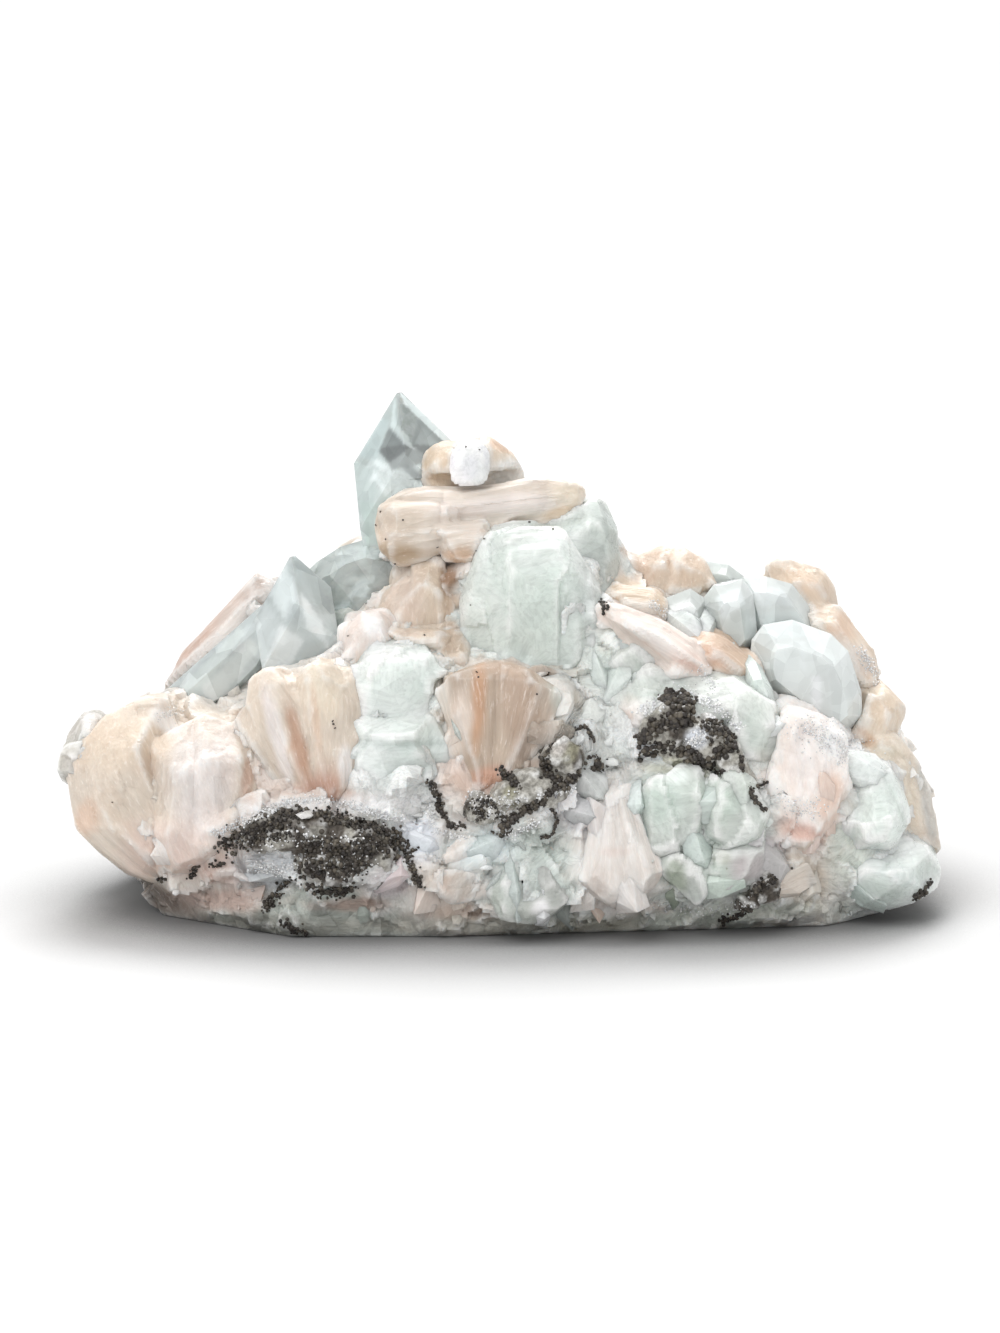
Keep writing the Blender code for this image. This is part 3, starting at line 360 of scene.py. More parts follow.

# Stains and painted shade: the middle, half width and half height of an oval, its turn, colour and
# strength. Most are the rock's own colours; the dark ones in the recess by the barrel, under the bow-tie
# and along the bottom rim are painted shade.
STAINS_AND_PAINTED_SHADE = {
    "stilbite_bow_tie_top": [
        (572, 500, 30, 26, 0, (242, 230, 211), 0.9), (500, 506, 74, 12, -4, (243, 234, 229), 0.8),
        # (398, 557): painted shade under the bow-tie's left lobe
        (398, 557, 44, 16, 8, (196, 174, 148), 0.95), (370, 532, 14, 24, 0, (226, 206, 182), 0.8),
        (398, 516, 34, 26, 0, (218, 204, 188), 0.8),
        # (462, 562) and (474, 584): painted shade in the recess under the bow-tie
        (462, 562, 24, 15, 0, (216, 184, 156), 0.9), (474, 584, 14, 12, 0, (202, 164, 134), 0.9),
        (460, 530, 26, 10, 0, (240, 229, 218), 0.8), (560, 512, 20, 6, -20, (228, 204, 176), 0.7),
    ],
    "stilbite_tablet_top": [
        (438, 470, 16, 24, 0, (233, 214, 190), 0.9), (508, 476, 22, 22, 0, (228, 226, 221), 0.9),
        (500, 446, 22, 5, 20, (230, 202, 178), 0.9), (460, 488, 10, 5, 0, (150, 120, 100), 0.5),
    ],
    "stilbite_barrel_centre": [
        # (430, 552) and (452, 572): painted shade in the recess beside the barrel
        (430, 552, 30, 10, 0, (150, 122, 98), 0.9), (402, 600, 22, 42, 0, (236, 219, 205), 0.9),
        (450, 604, 15, 48, 0, (208, 186, 165), 0.9),
        (452, 572, 12, 24, 0, (158, 128, 102), 0.95), (420, 690, 44, 14, 0, (230, 210, 192), 0.9),
    ],
    "stilbite_stub_left_centre": [
        (373, 627, 14, 14, 0, (250, 248, 247), 1.0), (368, 660, 16, 14, 0, (228, 206, 190), 0.8),
    ],
    "apophyllite_block_middle": [
        (392, 690, 40, 34, 0, (222, 234, 229), 0.8), (394, 776, 44, 30, 0, (217, 228, 224), 0.8),
        (395, 744, 50, 7, 0, (192, 204, 200), 0.7), (400, 656, 36, 6, 0, (240, 244, 242), 0.8),
        (366, 775, 12, 30, -20, (240, 244, 243), 0.6),
    ],
    "stilbite_fan_left": [
        (120, 742, 50, 30, 0, (234, 217, 197), 0.8), (88, 818, 14, 20, 0, (222, 190, 166), 0.7),
        (200, 795, 26, 58, -8, (240, 233, 230), 0.75), (224, 770, 16, 50, 4, (236, 226, 222), 0.6),
        (250, 770, 7, 36, 12, (208, 172, 152), 0.7), (246, 730, 10, 20, 0, (214, 186, 164), 0.6),
        (165, 720, 17, 11, 38, (252, 250, 248), 1.0), (184, 716, 10, 8, 38, (234, 206, 178), 0.8),
        # (150, 898): painted shade along the bottom edge
        (150, 898, 66, 13, 34, (142, 124, 114), 0.8), (160, 850, 40, 34, 30, (228, 204, 192), 0.5),
        (190, 850, 16, 26, 10, (226, 196, 182), 0.5), (200, 840, 50, 34, 0, (236, 222, 216), 0.6),
        (200, 770, 40, 60, 0, (240, 234, 231), 0.5), (140, 850, 26, 30, 30, (228, 208, 198), 0.5),
        (205, 875, 30, 12, 0, (210, 184, 174), 0.7),
    ],
    "stilbite_twin_sheaf_left": [
        (324, 690, 26, 34, 0, (234, 222, 203), 0.9), (262, 700, 18, 34, -14, (232, 220, 205), 0.8),
        (277, 735, 8, 58, -16, (246, 240, 237), 0.9), (300, 750, 9, 48, -14, (204, 166, 142), 0.9),
        (324, 792, 24, 30, 0, (206, 162, 142), 0.85), (345, 765, 8, 22, 0, (246, 242, 240), 0.8),
        (316, 720, 5, 40, -6, (214, 184, 160), 0.6), (296, 800, 14, 16, 0, (220, 190, 176), 0.7),
    ],
    "stilbite_fan_centre": [
        (520, 706, 24, 44, -4, (186, 164, 146), 0.9), (478, 706, 9, 50, 4, (210, 168, 136), 0.9),
        (458, 730, 15, 52, 10, (234, 220, 208), 0.85), (494, 782, 30, 16, 0, (218, 172, 148), 0.9),
        (548, 700, 12, 34, -14, (204, 190, 176), 0.8), (505, 668, 34, 6, 0, (206, 182, 162), 0.7),
        (438, 700, 15, 40, 6, (226, 218, 208), 0.9), (568, 706, 16, 44, -10, (208, 209, 200), 0.95),
        (520, 750, 12, 22, 20, (214, 196, 182), 0.6),
    ],
    "apophyllite_block_centre": [
        (530, 605, 46, 56, 0, (214, 225, 219), 0.8), (545, 529, 56, 8, -16, (198, 206, 201), 0.9),
        (576, 536, 12, 8, 10, (226, 229, 229), 0.9), (604, 545, 30, 46, 0, (196, 204, 200), 0.95),
        (590, 610, 8, 44, 0, (228, 234, 233), 0.6), (480, 620, 16, 50, 0, (214, 224, 218), 0.7),
        (520, 680, 50, 16, 0, (214, 224, 219), 0.6), (500, 560, 12, 22, 40, (196, 210, 202), 0.6),
        (540, 630, 30, 8, -20, (222, 232, 226), 0.5), (470, 676, 14, 16, 0, (226, 204, 182), 0.6),
    ],
    "stilbite_blade_right": [
        (690, 662, 22, 9, 32, (230, 198, 184), 0.7), (640, 626, 36, 6, 24, (244, 238, 232), 0.7),
        (660, 650, 30, 5, 30, (232, 210, 198), 0.6),
    ],
    "stilbite_finger_right": [
        (716, 660, 30, 12, 38, (236, 204, 182), 0.8), (745, 676, 12, 10, 0, (232, 208, 190), 0.6),
    ],
    "apophyllite_ledge_right": [
        (632, 715, 15, 18, 0, (232, 213, 200), 0.8), (700, 700, 60, 10, 6, (216, 224, 218), 0.7),
        (755, 730, 14, 30, 0, (204, 216, 208), 0.6), (620, 660, 20, 20, 0, (220, 228, 222), 0.7),
        (650, 706, 24, 8, 0, (244, 245, 243), 0.7), (762, 764, 12, 20, 0, (206, 206, 196), 0.6),
    ],
    "apophyllite_block_low_right": [
        (875, 806, 34, 34, 0, (224, 234, 229), 0.8), (862, 778, 18, 14, 0, (236, 241, 238), 0.7),
        (888, 868, 46, 12, 28, (220, 230, 228), 0.8), (870, 892, 34, 12, 0, (190, 203, 196), 0.8),
        (840, 880, 12, 26, 0, (196, 200, 190), 0.7), (925, 868, 14, 12, 0, (206, 218, 212), 0.6),
    ],
    "stilbite_wall_right": [
        (806, 760, 20, 46, 0, (245, 239, 236), 0.8), (798, 832, 28, 14, 14, (228, 192, 178), 0.9),
        (830, 800, 13, 36, 6, (230, 204, 188), 0.9), (840, 742, 24, 18, 20, (242, 242, 242), 0.9),
        (784, 745, 10, 24, 0, (240, 228, 220), 0.7), (812, 852, 24, 12, 0, (218, 206, 192), 0.8),
    ],
    "stilbite_fan_low_centre": [
        (612, 852, 18, 6, 0, (220, 204, 196), 0.5), (626, 880, 30, 30, 0, (224, 219, 214), 0.7),
        (600, 820, 12, 28, 0, (224, 220, 217), 0.6), (600, 880, 12, 22, 10, (212, 200, 192), 0.5),
    ],
    "stilbite_fan_right": [
        (860, 735, 18, 8, 30, (224, 190, 160), 0.9), (884, 705, 22, 26, 0, (232, 214, 192), 0.8),
        (905, 790, 18, 40, -10, (229, 217, 199), 0.8), (928, 806, 7, 54, -10, (204, 203, 198), 0.8),
        (914, 850, 12, 24, -20, (234, 214, 200), 0.6), (890, 752, 16, 8, 20, (206, 196, 176), 0.7),
    ],
    "stilbite_finger_far_right": [
        (860, 662, 14, 20, -24, (234, 224, 217), 0.7), (840, 632, 16, 22, 30, (226, 196, 172), 0.7),
        (800, 584, 30, 16, 16, (230, 207, 184), 0.8),
    ],
    "stilbite_pair_right": [
        (690, 575, 18, 20, 30, (230, 208, 186), 0.7), (640, 575, 16, 16, -30, (224, 202, 184), 0.7),
    ],
    "stilbite_blade_left_back": [
        (196, 640, 8, 50, 40, (206, 176, 160), 0.7), (220, 640, 8, 40, 40, (224, 208, 196), 0.7),
    ],
    "apophyllite_block_low_centre": [
        (664, 800, 22, 34, -10, (206, 220, 212), 0.8), (720, 800, 30, 24, 0, (196, 210, 200), 0.8),
        (676, 876, 12, 22, 0, (164, 176, 156), 0.8), (718, 880, 20, 18, 0, (200, 214, 203), 0.8),
        (750, 866, 22, 22, 0, (198, 188, 190), 0.9), (672, 776, 14, 9, 0, (234, 242, 238), 0.9),
        (700, 840, 14, 24, -20, (204, 216, 209), 0.7), (722, 856, 12, 9, 0, (188, 188, 170), 0.8),
    ],
    "apophyllite_fan_low_left": [
        (512, 880, 14, 30, 0, (188, 200, 193), 0.8), (546, 880, 18, 36, -34, (180, 186, 181), 0.8),
        (541, 908, 10, 11, 0, (247, 250, 250), 1.0),
    ],
    "stilbite_wedge_low_left": [
        (438, 862, 16, 30, 0, (226, 208, 194), 0.8), (482, 846, 20, 16, 0, (218, 227, 227), 0.9),
        (470, 886, 18, 16, 0, (214, 208, 200), 0.7),
    ],
    "druse_crust_centre": [
        (510, 794, 9, 13, -20, (150, 147, 122), 0.9), (572, 750, 8, 16, 24, (156, 153, 130), 0.9),
        (560, 745, 9, 12, 30, (206, 200, 194), 0.8), (545, 828, 7, 10, 0, (160, 154, 132), 0.8),
        (480, 806, 12, 12, 0, (198, 194, 188), 0.6),
    ],
    "druse_crust_right": [
        (697, 738, 12, 12, 0, (226, 231, 240), 1.0), (720, 718, 18, 7, 0, (238, 239, 243), 0.9),
        (676, 764, 34, 6, 8, (206, 205, 186), 0.9), (660, 726, 10, 6, 0, (214, 204, 196), 0.6),
    ],
    "matrix": [
        # These two: painted shade in the deep recess beside the barrel
        (447, 572, 16, 26, 10, (150, 118, 92), 0.95), (440, 556, 12, 12, 0, (160, 126, 98), 0.9),
        (285, 800, 70, 46, 0, (232, 219, 211), 0.9), (225, 868, 60, 22, 10, (222, 200, 190), 0.9),
        (330, 806, 110, 12, -4, (244, 243, 243), 0.8), (268, 868, 42, 26, 0, (208, 211, 214), 0.9),
        (222, 900, 60, 14, 0, (206, 182, 171), 0.9), (420, 842, 28, 26, 0, (226, 230, 237), 0.9),
        (446, 884, 24, 24, 0, (218, 207, 196), 0.9), (480, 850, 40, 26, 0, (216, 226, 226), 0.9),
        (385, 884, 28, 20, 0, (210, 200, 202), 0.8), (570, 806, 36, 34, 0, (200, 198, 201), 0.8),
        (600, 740, 40, 60, 0, (222, 226, 223), 0.8), (560, 690, 26, 50, 0, (208, 204, 194), 0.8),
        (540, 870, 40, 50, 0, (194, 203, 197), 0.8), (620, 850, 40, 60, 0, (232, 228, 225), 0.8),
        (690, 830, 70, 70, 0, (210, 221, 212), 0.8), (762, 860, 26, 26, 0, (198, 188, 190), 0.9),
        (806, 880, 36, 34, 0, (216, 205, 191), 0.9), (800, 830, 30, 14, 10, (228, 196, 182), 0.9),
        (690, 740, 66, 34, 0, (232, 234, 238), 0.8), (690, 772, 50, 8, 6, (208, 207, 188), 0.8),
        (840, 745, 40, 26, 20, (242, 242, 243), 0.9), (850, 850, 26, 50, 0, (206, 212, 202), 0.8),
        (620, 660, 50, 40, 0, (214, 222, 216), 0.8), (400, 700, 70, 60, 0, (222, 226, 222), 0.5),
        (470, 770, 40, 40, 0, (228, 208, 196), 0.8), (700, 640, 60, 40, 0, (208, 212, 208), 0.8),
        # The dark bands along the bottom rim and the darkest ones at its corners: painted shade under the
        # cluster, with some of the rock's own mottling
        (270, 927, 125, 15, 0, (138, 138, 130), 0.9), (470, 925, 110, 10, 0, (188, 185, 175), 0.85),
        (720, 915, 140, 10, -4, (196, 200, 190), 0.85), (350, 905, 40, 8, 0, (176, 152, 140), 0.8),
        (470, 912, 60, 8, 0, (190, 168, 152), 0.7), (590, 925, 60, 8, 0, (176, 174, 160), 0.7),
        (160, 900, 60, 14, 30, (120, 108, 100), 0.8), (150, 890, 30, 8, 34, (86, 78, 72), 0.6),
        (920, 890, 24, 10, -20, (70, 66, 64), 0.8),
    ],
}


# Surfaces


def welded_copy(node):
    """A closed mesh of a node's solid."""
    bm = bmesh.new()
    bm.from_mesh(NODES[node].data)
    bmesh.ops.remove_doubles(bm, verts=bm.verts, dist=1e-6)
    mesh = bpy.data.meshes.new("welded")
    bm.to_mesh(mesh)
    bm.free()
    return mesh


def remeshed(mesh, size):
    """The mesh as even quads of this size: its points in mm and its faces."""
    holder = bpy.data.objects.new("holder", mesh)
    bpy.context.scene.collection.objects.link(holder)
    modifier = holder.modifiers.new("even", "REMESH")
    modifier.mode = "VOXEL"
    modifier.voxel_size = size * MM
    graph = bpy.context.evaluated_depsgraph_get()
    even = bpy.data.meshes.new_from_object(holder.evaluated_get(graph))
    points = np.empty(len(even.vertices) * 3, np.float32)
    even.vertices.foreach_get("co", points)
    faces = np.empty(len(even.loops), np.int32)
    even.loops.foreach_get("vertex_index", faces)
    bpy.data.objects.remove(holder)
    bpy.data.meshes.remove(even)
    return points.reshape(-1, 3).astype(float) / MM, faces.reshape(-1, 4)


def normals_of(points, faces):
    """Point normals of a mesh of quads or triangles."""
    corners = points[faces]
    first = corners[:, 2] - corners[:, 0]
    last = corners[:, -1] - corners[:, 1]
    face_normals = np.cross(first, last)
    if faces.shape[1] == 3:
        face_normals = np.cross(corners[:, 1] - corners[:, 0], first)
    total = np.zeros_like(points)
    for k in range(3):
        total[:, k] = np.bincount(
            faces.ravel(), np.repeat(face_normals[:, k], faces.shape[1]), len(points)
        )
    return total / np.maximum(np.linalg.norm(total, axis=1), 1e-12)[:, None]


def links(faces):
    """A point and a neighbour of it for every side of the faces, both ways round."""
    starts = faces.ravel()
    ends = np.roll(faces, -1, axis=1).ravel()
    return np.concatenate([starts, ends]), np.concatenate([ends, starts])


def relaxed(points, faces, share, times):
    """Moves each point towards the middle of its neighbours."""
    both, other = links(faces)
    count = np.bincount(both, minlength=len(points))
    for _ in range(times):
        middle = np.stack(
            [np.bincount(both, points[other, k], len(points)) for k in range(3)], axis=1
        )
        points = points + (middle / count[:, None] - points) * share
    return points


# How far apart the directions of two cuts are, in radians: the golden angle
CUT_TURN = 2.39996

# How much wider and shallower than in their table the grooves are pressed
GROOVE_WIDER = 1.3
GROOVE_DEPTH = 0.55

# Edges are painted pale as a painted highlight and creases darker as painted shade: how much, and from
# which height to which in mm
EDGE_HIGHLIGHT_COLOUR = (244, 245, 244)
EDGE_HIGHLIGHT_SHARE = 0.52
EDGE_HEIGHTS = (0.010, 0.06)
CREASE_SHADE_SHARE = 0.08
CREASE_HEIGHTS = (0.010, 0.08)

# How soft and how uneven the border of an oval is, whether a stain or painted shade
OVAL_SOFT = 0.6
OVAL_WOBBLE = 0.25


class Surface:
    """A piece's surface as numpy arrays, until it is made into an object."""

    def __init__(self, node, size):
        self.node = node
        self.points, self.faces = remeshed(welded_copy(node), size * COARSE)
        self.points = relaxed(self.points, self.faces, 0.5, 1)
        self.read()
        for line, reach, across, down in SHIFTS.get(node, ()):
            amount = np.exp(-((self.far_from(line) / reach) ** 2)) * VIEW_UNIT
            self.points[:, 0] += across * amount
            self.points -= down * amount[:, None] * UP
            self.read()

    def read(self):
        """Works out anew what follows from the points."""
        self.normals = normals_of(self.points, self.faces)
        self.facing = -(self.normals @ FORWARD)
        self.u, self.v = projected(self.points)

    def push(self, heights):
        self.points = self.points + self.normals * heights[:, None]

    def paint(self, colour):
        self.tint = np.tile(linear(colour), (len(self.points), 1))

    def blend(self, colour, amount):
        self.tint += (linear(colour) - self.tint) * np.clip(amount, 0, 1)[:, None]

    def spread_out(self, values, times):
        """Evens out numbers that belong to the points."""
        both, other = links(self.faces)
        count = np.bincount(both, minlength=len(values))
        for _ in range(times):
            values = (values + np.bincount(both, values[other], len(values)) / count) / 2
        return values

    def reach_neighbours(self, tree, owners):
        """Grows the sides towards the pieces beside them, so that no gap is left between."""
        longest = SHORT_REACHES.get(self.node, LONGEST_REACH)
        if not longest:
            return
        gap = np.zeros(len(self.points))
        for k, (point, normal) in enumerate(zip(self.points, self.normals)):
            start = point + normal * REACH_START
            where, _, face, distance = tree.ray_cast(start, normal, FARTHEST_REACH)
            if where is not None and owners[face] != self.node:
                gap[k] = min(distance * 0.5, longest) + REACH_OVERLAP
        self.points = self.points + self.normals * self.spread_out(gap, 8)[:, None]
        self.read()

    def cut(self, count, keep, seed):
        """Cuts flat faces all round: each takes off what stands out furthest one way."""
        chance = random.Random(seed)
        for k in range(count):
            rise = 1 - 2 * (k + 0.5) / count
            turn = k * CUT_TURN + seed
            flat = math.sqrt(1 - rise * rise)
            way = np.array((math.cos(turn) * flat, math.sin(turn) * flat, rise))
            way += [chance.gauss(0, 0.15) for _ in range(3)]
            way /= np.linalg.norm(way)
            reach = self.points @ way
            limit = np.quantile(reach, keep + (1 - keep) * 0.6 * chance.random())
            self.points = self.points - np.maximum(reach - limit, 0)[:, None] * way
        self.read()

    def edge(self):
        """How far each point stands out from its neighbours: above 0 on edges, below in creases."""
        middle = relaxed(self.points, self.faces, 1.0, 1)
        return self.spread_out(((self.points - middle) * self.normals).sum(1), 4)

    def dress(self):
        """The grooves and stains of this piece, some of them painted shade, a painted highlight on its
        edges and painted shade in its deep creases.
        """
        for line, width, depth in GROOVES.get(self.node, ()):
            self.groove(line, width * GROOVE_WIDER, depth * GROOVE_DEPTH)
        self.read()
        edge = self.edge()
        for k, (*oval, colour, amount) in enumerate(STAINS_AND_PAINTED_SHADE.get(self.node, ())):
            self.blend(colour, amount * self.zone(*oval, seed=k))
        # Painted light: the lower part painted brighter
        if self.node in PAINTED_LIGHT_BELOW:
            start, end, more = PAINTED_LIGHT_BELOW[self.node]
            self.tint *= (1 + more * smooth(start, end, self.v))[:, None]
        # Painted highlight on the edges and painted shade in the creases
        self.blend(EDGE_HIGHLIGHT_COLOUR, EDGE_HIGHLIGHT_SHARE * smooth(*EDGE_HEIGHTS, edge))
        self.tint *= (1 - CREASE_SHADE_SHARE * smooth(*CREASE_HEIGHTS, -edge))[:, None]

    def far_from(self, line):
        """How far each point is seen from a line of the picture."""
        reach = np.full(len(self.points), np.inf)
        for (u0, v0), (u1, v1) in zip(line, line[1:]):
            du, dv = u1 - u0, v1 - v0
            t = ((self.u - u0) * du + (self.v - v0) * dv) / (du * du + dv * dv)
            t = np.clip(t, 0, 1)
            reach = np.minimum(reach, np.hypot(self.u - u0 - t * du, self.v - v0 - t * dv))
        return reach

    def groove(self, line, width, depth):
        """Presses a line of the show side in, or raises it where depth is negative."""
        amount = np.exp(-((self.far_from(line) / width) ** 2)) * smooth(0.0, 0.3, self.facing)
        self.push(-depth * amount)

    def zone(self, u, v, wide, high, turn, seed):
        """1 inside an oval of the show side, fading out over its edge."""
        angle = math.radians(turn)
        across, down = self.u - u, self.v - v
        a = (across * math.cos(angle) + down * math.sin(angle)) / wide
        b = (down * math.cos(angle) - across * math.sin(angle)) / high
        reach = np.sqrt(a * a + b * b) + OVAL_WOBBLE * noise(self.points, 3.0, seed)
        outside = smooth(1 - OVAL_SOFT, 1 + OVAL_SOFT * 0.5, reach)
        return (1 - outside) * smooth(-0.15, 0.25, self.facing)


def arrays_of(bm):
    """The points and faces of a bmesh, which is freed."""
    bm.verts.index_update()
    points = np.array([v.co for v in bm.verts])
    faces = np.array([[v.index for v in f.verts] for f in bm.faces])
    bm.free()
    return points, faces


def add_mesh(name, points, faces, colours=None, vectors=None, values=None, sharp=None):
    """A mesh object from arrays in mm, with colours, vectors and numbers stored on its points."""
    mesh = bpy.data.meshes.new(name)
    sides = faces.shape[1]
    mesh.vertices.add(len(points))
    mesh.vertices.foreach_set("co", (points * MM).astype(np.float32).ravel())
    mesh.loops.add(faces.size)
    mesh.loops.foreach_set("vertex_index", faces.astype(np.int32).ravel())
    mesh.polygons.add(len(faces))
    mesh.polygons.foreach_set("loop_start", np.arange(0, faces.size, sides, dtype=np.int32))
    mesh.update(calc_edges=True)
    mesh.validate()
    for kind, field, given in (
        ("FLOAT_COLOR", "color", colours), ("FLOAT_VECTOR", "vector", vectors),
        ("FLOAT", "value", values),
    ):
        for key, numbers in (given or {}).items():
            if kind == "FLOAT_COLOR":
                numbers = np.column_stack([np.clip(numbers, 0, 1), np.ones(len(points))])
            layer = mesh.attributes.new(key, kind, "POINT")
            layer.data.foreach_set(field, numbers.astype(np.float32).ravel())
    mesh.polygons.foreach_set("use_smooth", np.ones(len(mesh.polygons), bool))
    if sharp:
        mesh.set_sharp_from_angle(angle=math.radians(sharp))
    made = bpy.data.objects.new(name, mesh)
    bpy.context.scene.collection.objects.link(made)
    return made


class Heap:
    """Small meshes gathered into one, with a colour for each."""

    def __init__(self):
        self.points, self.faces, self.tints, self.count = [], [], [], 0

    def add(self, points, faces, tint):
        self.points.append(points)
        self.faces.append(faces + self.count)
        self.tints.append(np.tile(tint, (len(points), 1)))
        self.count += len(points)

    def made(self, name, **more):
        return add_mesh(
            name, np.concatenate(self.points), np.concatenate(self.faces),
            colours={"tint": np.concatenate(self.tints)}, **more,
        )


def place(made, slot, finish, *replaced):
    """Gives a piece its finish and its place in the model."""
    made.data.materials.append(finish)
    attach(made, "root")
    if replaced:
        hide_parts(*replaced)


def place_surface(surface, slot, finish, **more):
    """Makes a finished surface into the object that stands for its solid."""
    made = add_mesh(
        surface.node + "_surface", surface.points, surface.faces,
        colours={"tint": surface.tint}, **more,
    )
    place(made, slot, finish, surface.node)


# Finishes

# How the pattern is scaled into streaks: a tenth along them
STREAK_SHAPE = (1, 1, 0.10)


class Nodes:
    """A node tree under construction."""

    def __init__(self, tree):
        self.tree = tree

    def add(self, kind, settings=None, **inputs):
        made = self.tree.nodes.new(kind)
        for key, value in (settings or {}).items():
            setattr(made, key, value)
        for key, value in inputs.items():
            self.plug(made.inputs[key.replace("_", " ")], value)
        return made

    def plug(self, socket, value):
        if isinstance(value, bpy.types.NodeSocket):
            self.tree.links.new(value, socket)
        else:
            socket.default_value = value

    def plug_all(self, sockets, values):
        for socket, value in zip(sockets, values):
            self.plug(socket, value)

    def math(self, operation, *values):
        made = self.add("ShaderNodeMath", {"operation": operation})
        self.plug_all(made.inputs, values)
        return made.outputs[0]

    def chain(self, operation, first, *others):
        """All the values multiplied, or all added."""
        for other in others:
            first = self.math(operation, first, other)
        return first

    def times(self, *values):
        return self.chain("MULTIPLY", *values)

    def plus(self, *values):
        return self.chain("ADD", *values)

    def vector(self, operation, *values):
        made = self.add("ShaderNodeVectorMath", {"operation": operation})
        self.plug_all(made.inputs, values)
        return made.outputs["Value" if operation == "DOT_PRODUCT" else "Vector"]


class Finish(Nodes):
    """A material under construction."""

    def __init__(self, name):
        self.material = bpy.data.materials.new(name)
        self.material.use_nodes = True
        super().__init__(self.material.node_tree)
        self.shader = self.tree.nodes["Principled BSDF"]

    def set(self, **values):
        for key, value in values.items():
            self.shader.inputs[key.replace("_", " ")].default_value = value

    def feed(self, key, source):
        self.tree.links.new(source, self.shader.inputs[key])

    def glow(self, weight, colours, reach):
        """Light that enters and leaves again up to reach mm away."""
        self.set(Subsurface_Weight=weight, Subsurface_Radius=colours, Subsurface_Scale=reach * MM)

    def attribute(self, key, output="Color"):
        return self.add("ShaderNodeAttribute", {"attribute_name": key}).outputs[output]

    def coordinates(self):
        return self.add("ShaderNodeTexCoord").outputs["Object"]

    def noise(self, vector, scale, detail, roughness, distortion=0.0):
        return self.add(
            "ShaderNodeTexNoise", Vector=vector, Scale=scale, Detail=detail,
            Roughness=roughness, Distortion=distortion,
        ).outputs["Fac"]

    def facets(self, vector, scale, tilt):
        """Flat facets, each with its own tilt: their heights, and a number from 0 to 1 for each."""
        cell = self.add("ShaderNodeTexVoronoi", Vector=vector, Scale=scale).outputs
        away = self.vector("SUBTRACT", vector, cell["Position"])
        turned = self.vector("MULTIPLY_ADD", cell["Color"], (2, 2, 2), (-1, -1, -1))
        height = self.vector("DOT_PRODUCT", away, turned)
        parts = self.add("ShaderNodeSeparateColor", Color=cell["Color"]).outputs
        return self.times(height, tilt), parts["Green"]

    def streaks(self, vector, patch, scale):
        """Fine parallel streaks that run another way in each patch."""
        cell = self.add("ShaderNodeTexVoronoi", Vector=vector, Scale=patch)
        turn = self.stretch(cell.outputs["Color"], (math.tau, math.tau, math.tau))
        turned = self.add(
            "ShaderNodeVectorRotate", {"rotation_type": "EULER_XYZ"}, Vector=vector, Rotation=turn
        )
        return self.noise(self.stretch(turned.outputs[0], STREAK_SHAPE), scale, 3.0, 0.6)

    def spread(self, value, *range_and_result):
        """Carries a value from one range over to another, 0 to 1 where none is given."""
        made = self.add("ShaderNodeMapRange", {"interpolation_type": "SMOOTHSTEP"}, Value=value)
        names = ("From Min", "From Max", "To Min", "To Max")
        self.plug_all([made.inputs[name] for name in names], range_and_result)
        return made.outputs["Result"]

    def shade(self, share, low, high):
        """A brightness between low and high for each facet's number."""
        return self.spread(share, 0.0, 1.0, low, high)

    def between(self, share, a, b):
        """a where the share is 0 and b where it is 1."""
        made = self.add("ShaderNodeMix", {"data_type": "FLOAT"})
        self.plug_all((made.inputs[k] for k in (0, 2, 3)), (share, a, b))
        return made.outputs[0]

    def mix(self, share, a, b, blend="MIX"):
        made = self.add("ShaderNodeMix", {"data_type": "RGBA", "blend_type": blend})
        self.plug_all((made.inputs[k] for k in (0, 6, 7)), (share, a, b))
        return made.outputs[2]

    def shaded(self, colour, brightness):
        return self.mix(1.0, colour, self.grey(brightness), "MULTIPLY")

    def grey(self, value):
        made = self.add("ShaderNodeCombineColor")
        self.plug_all(made.inputs, (value, value, value))
        return made.outputs[0]

    def stretch(self, vector, scale):
        return self.vector("MULTIPLY", vector, scale)

    def bump(self, *heights):
        """Heights as pairs of a value and how many mm it stands for."""
        normal = None
        for height, depth in heights:
            made = self.add("ShaderNodeBump", Height=height, Distance=depth * MM, Strength=1.0)
            if normal:
                self.tree.links.new(normal, made.inputs["Normal"])
            normal = made.outputs["Normal"]
        self.feed("Normal", normal)


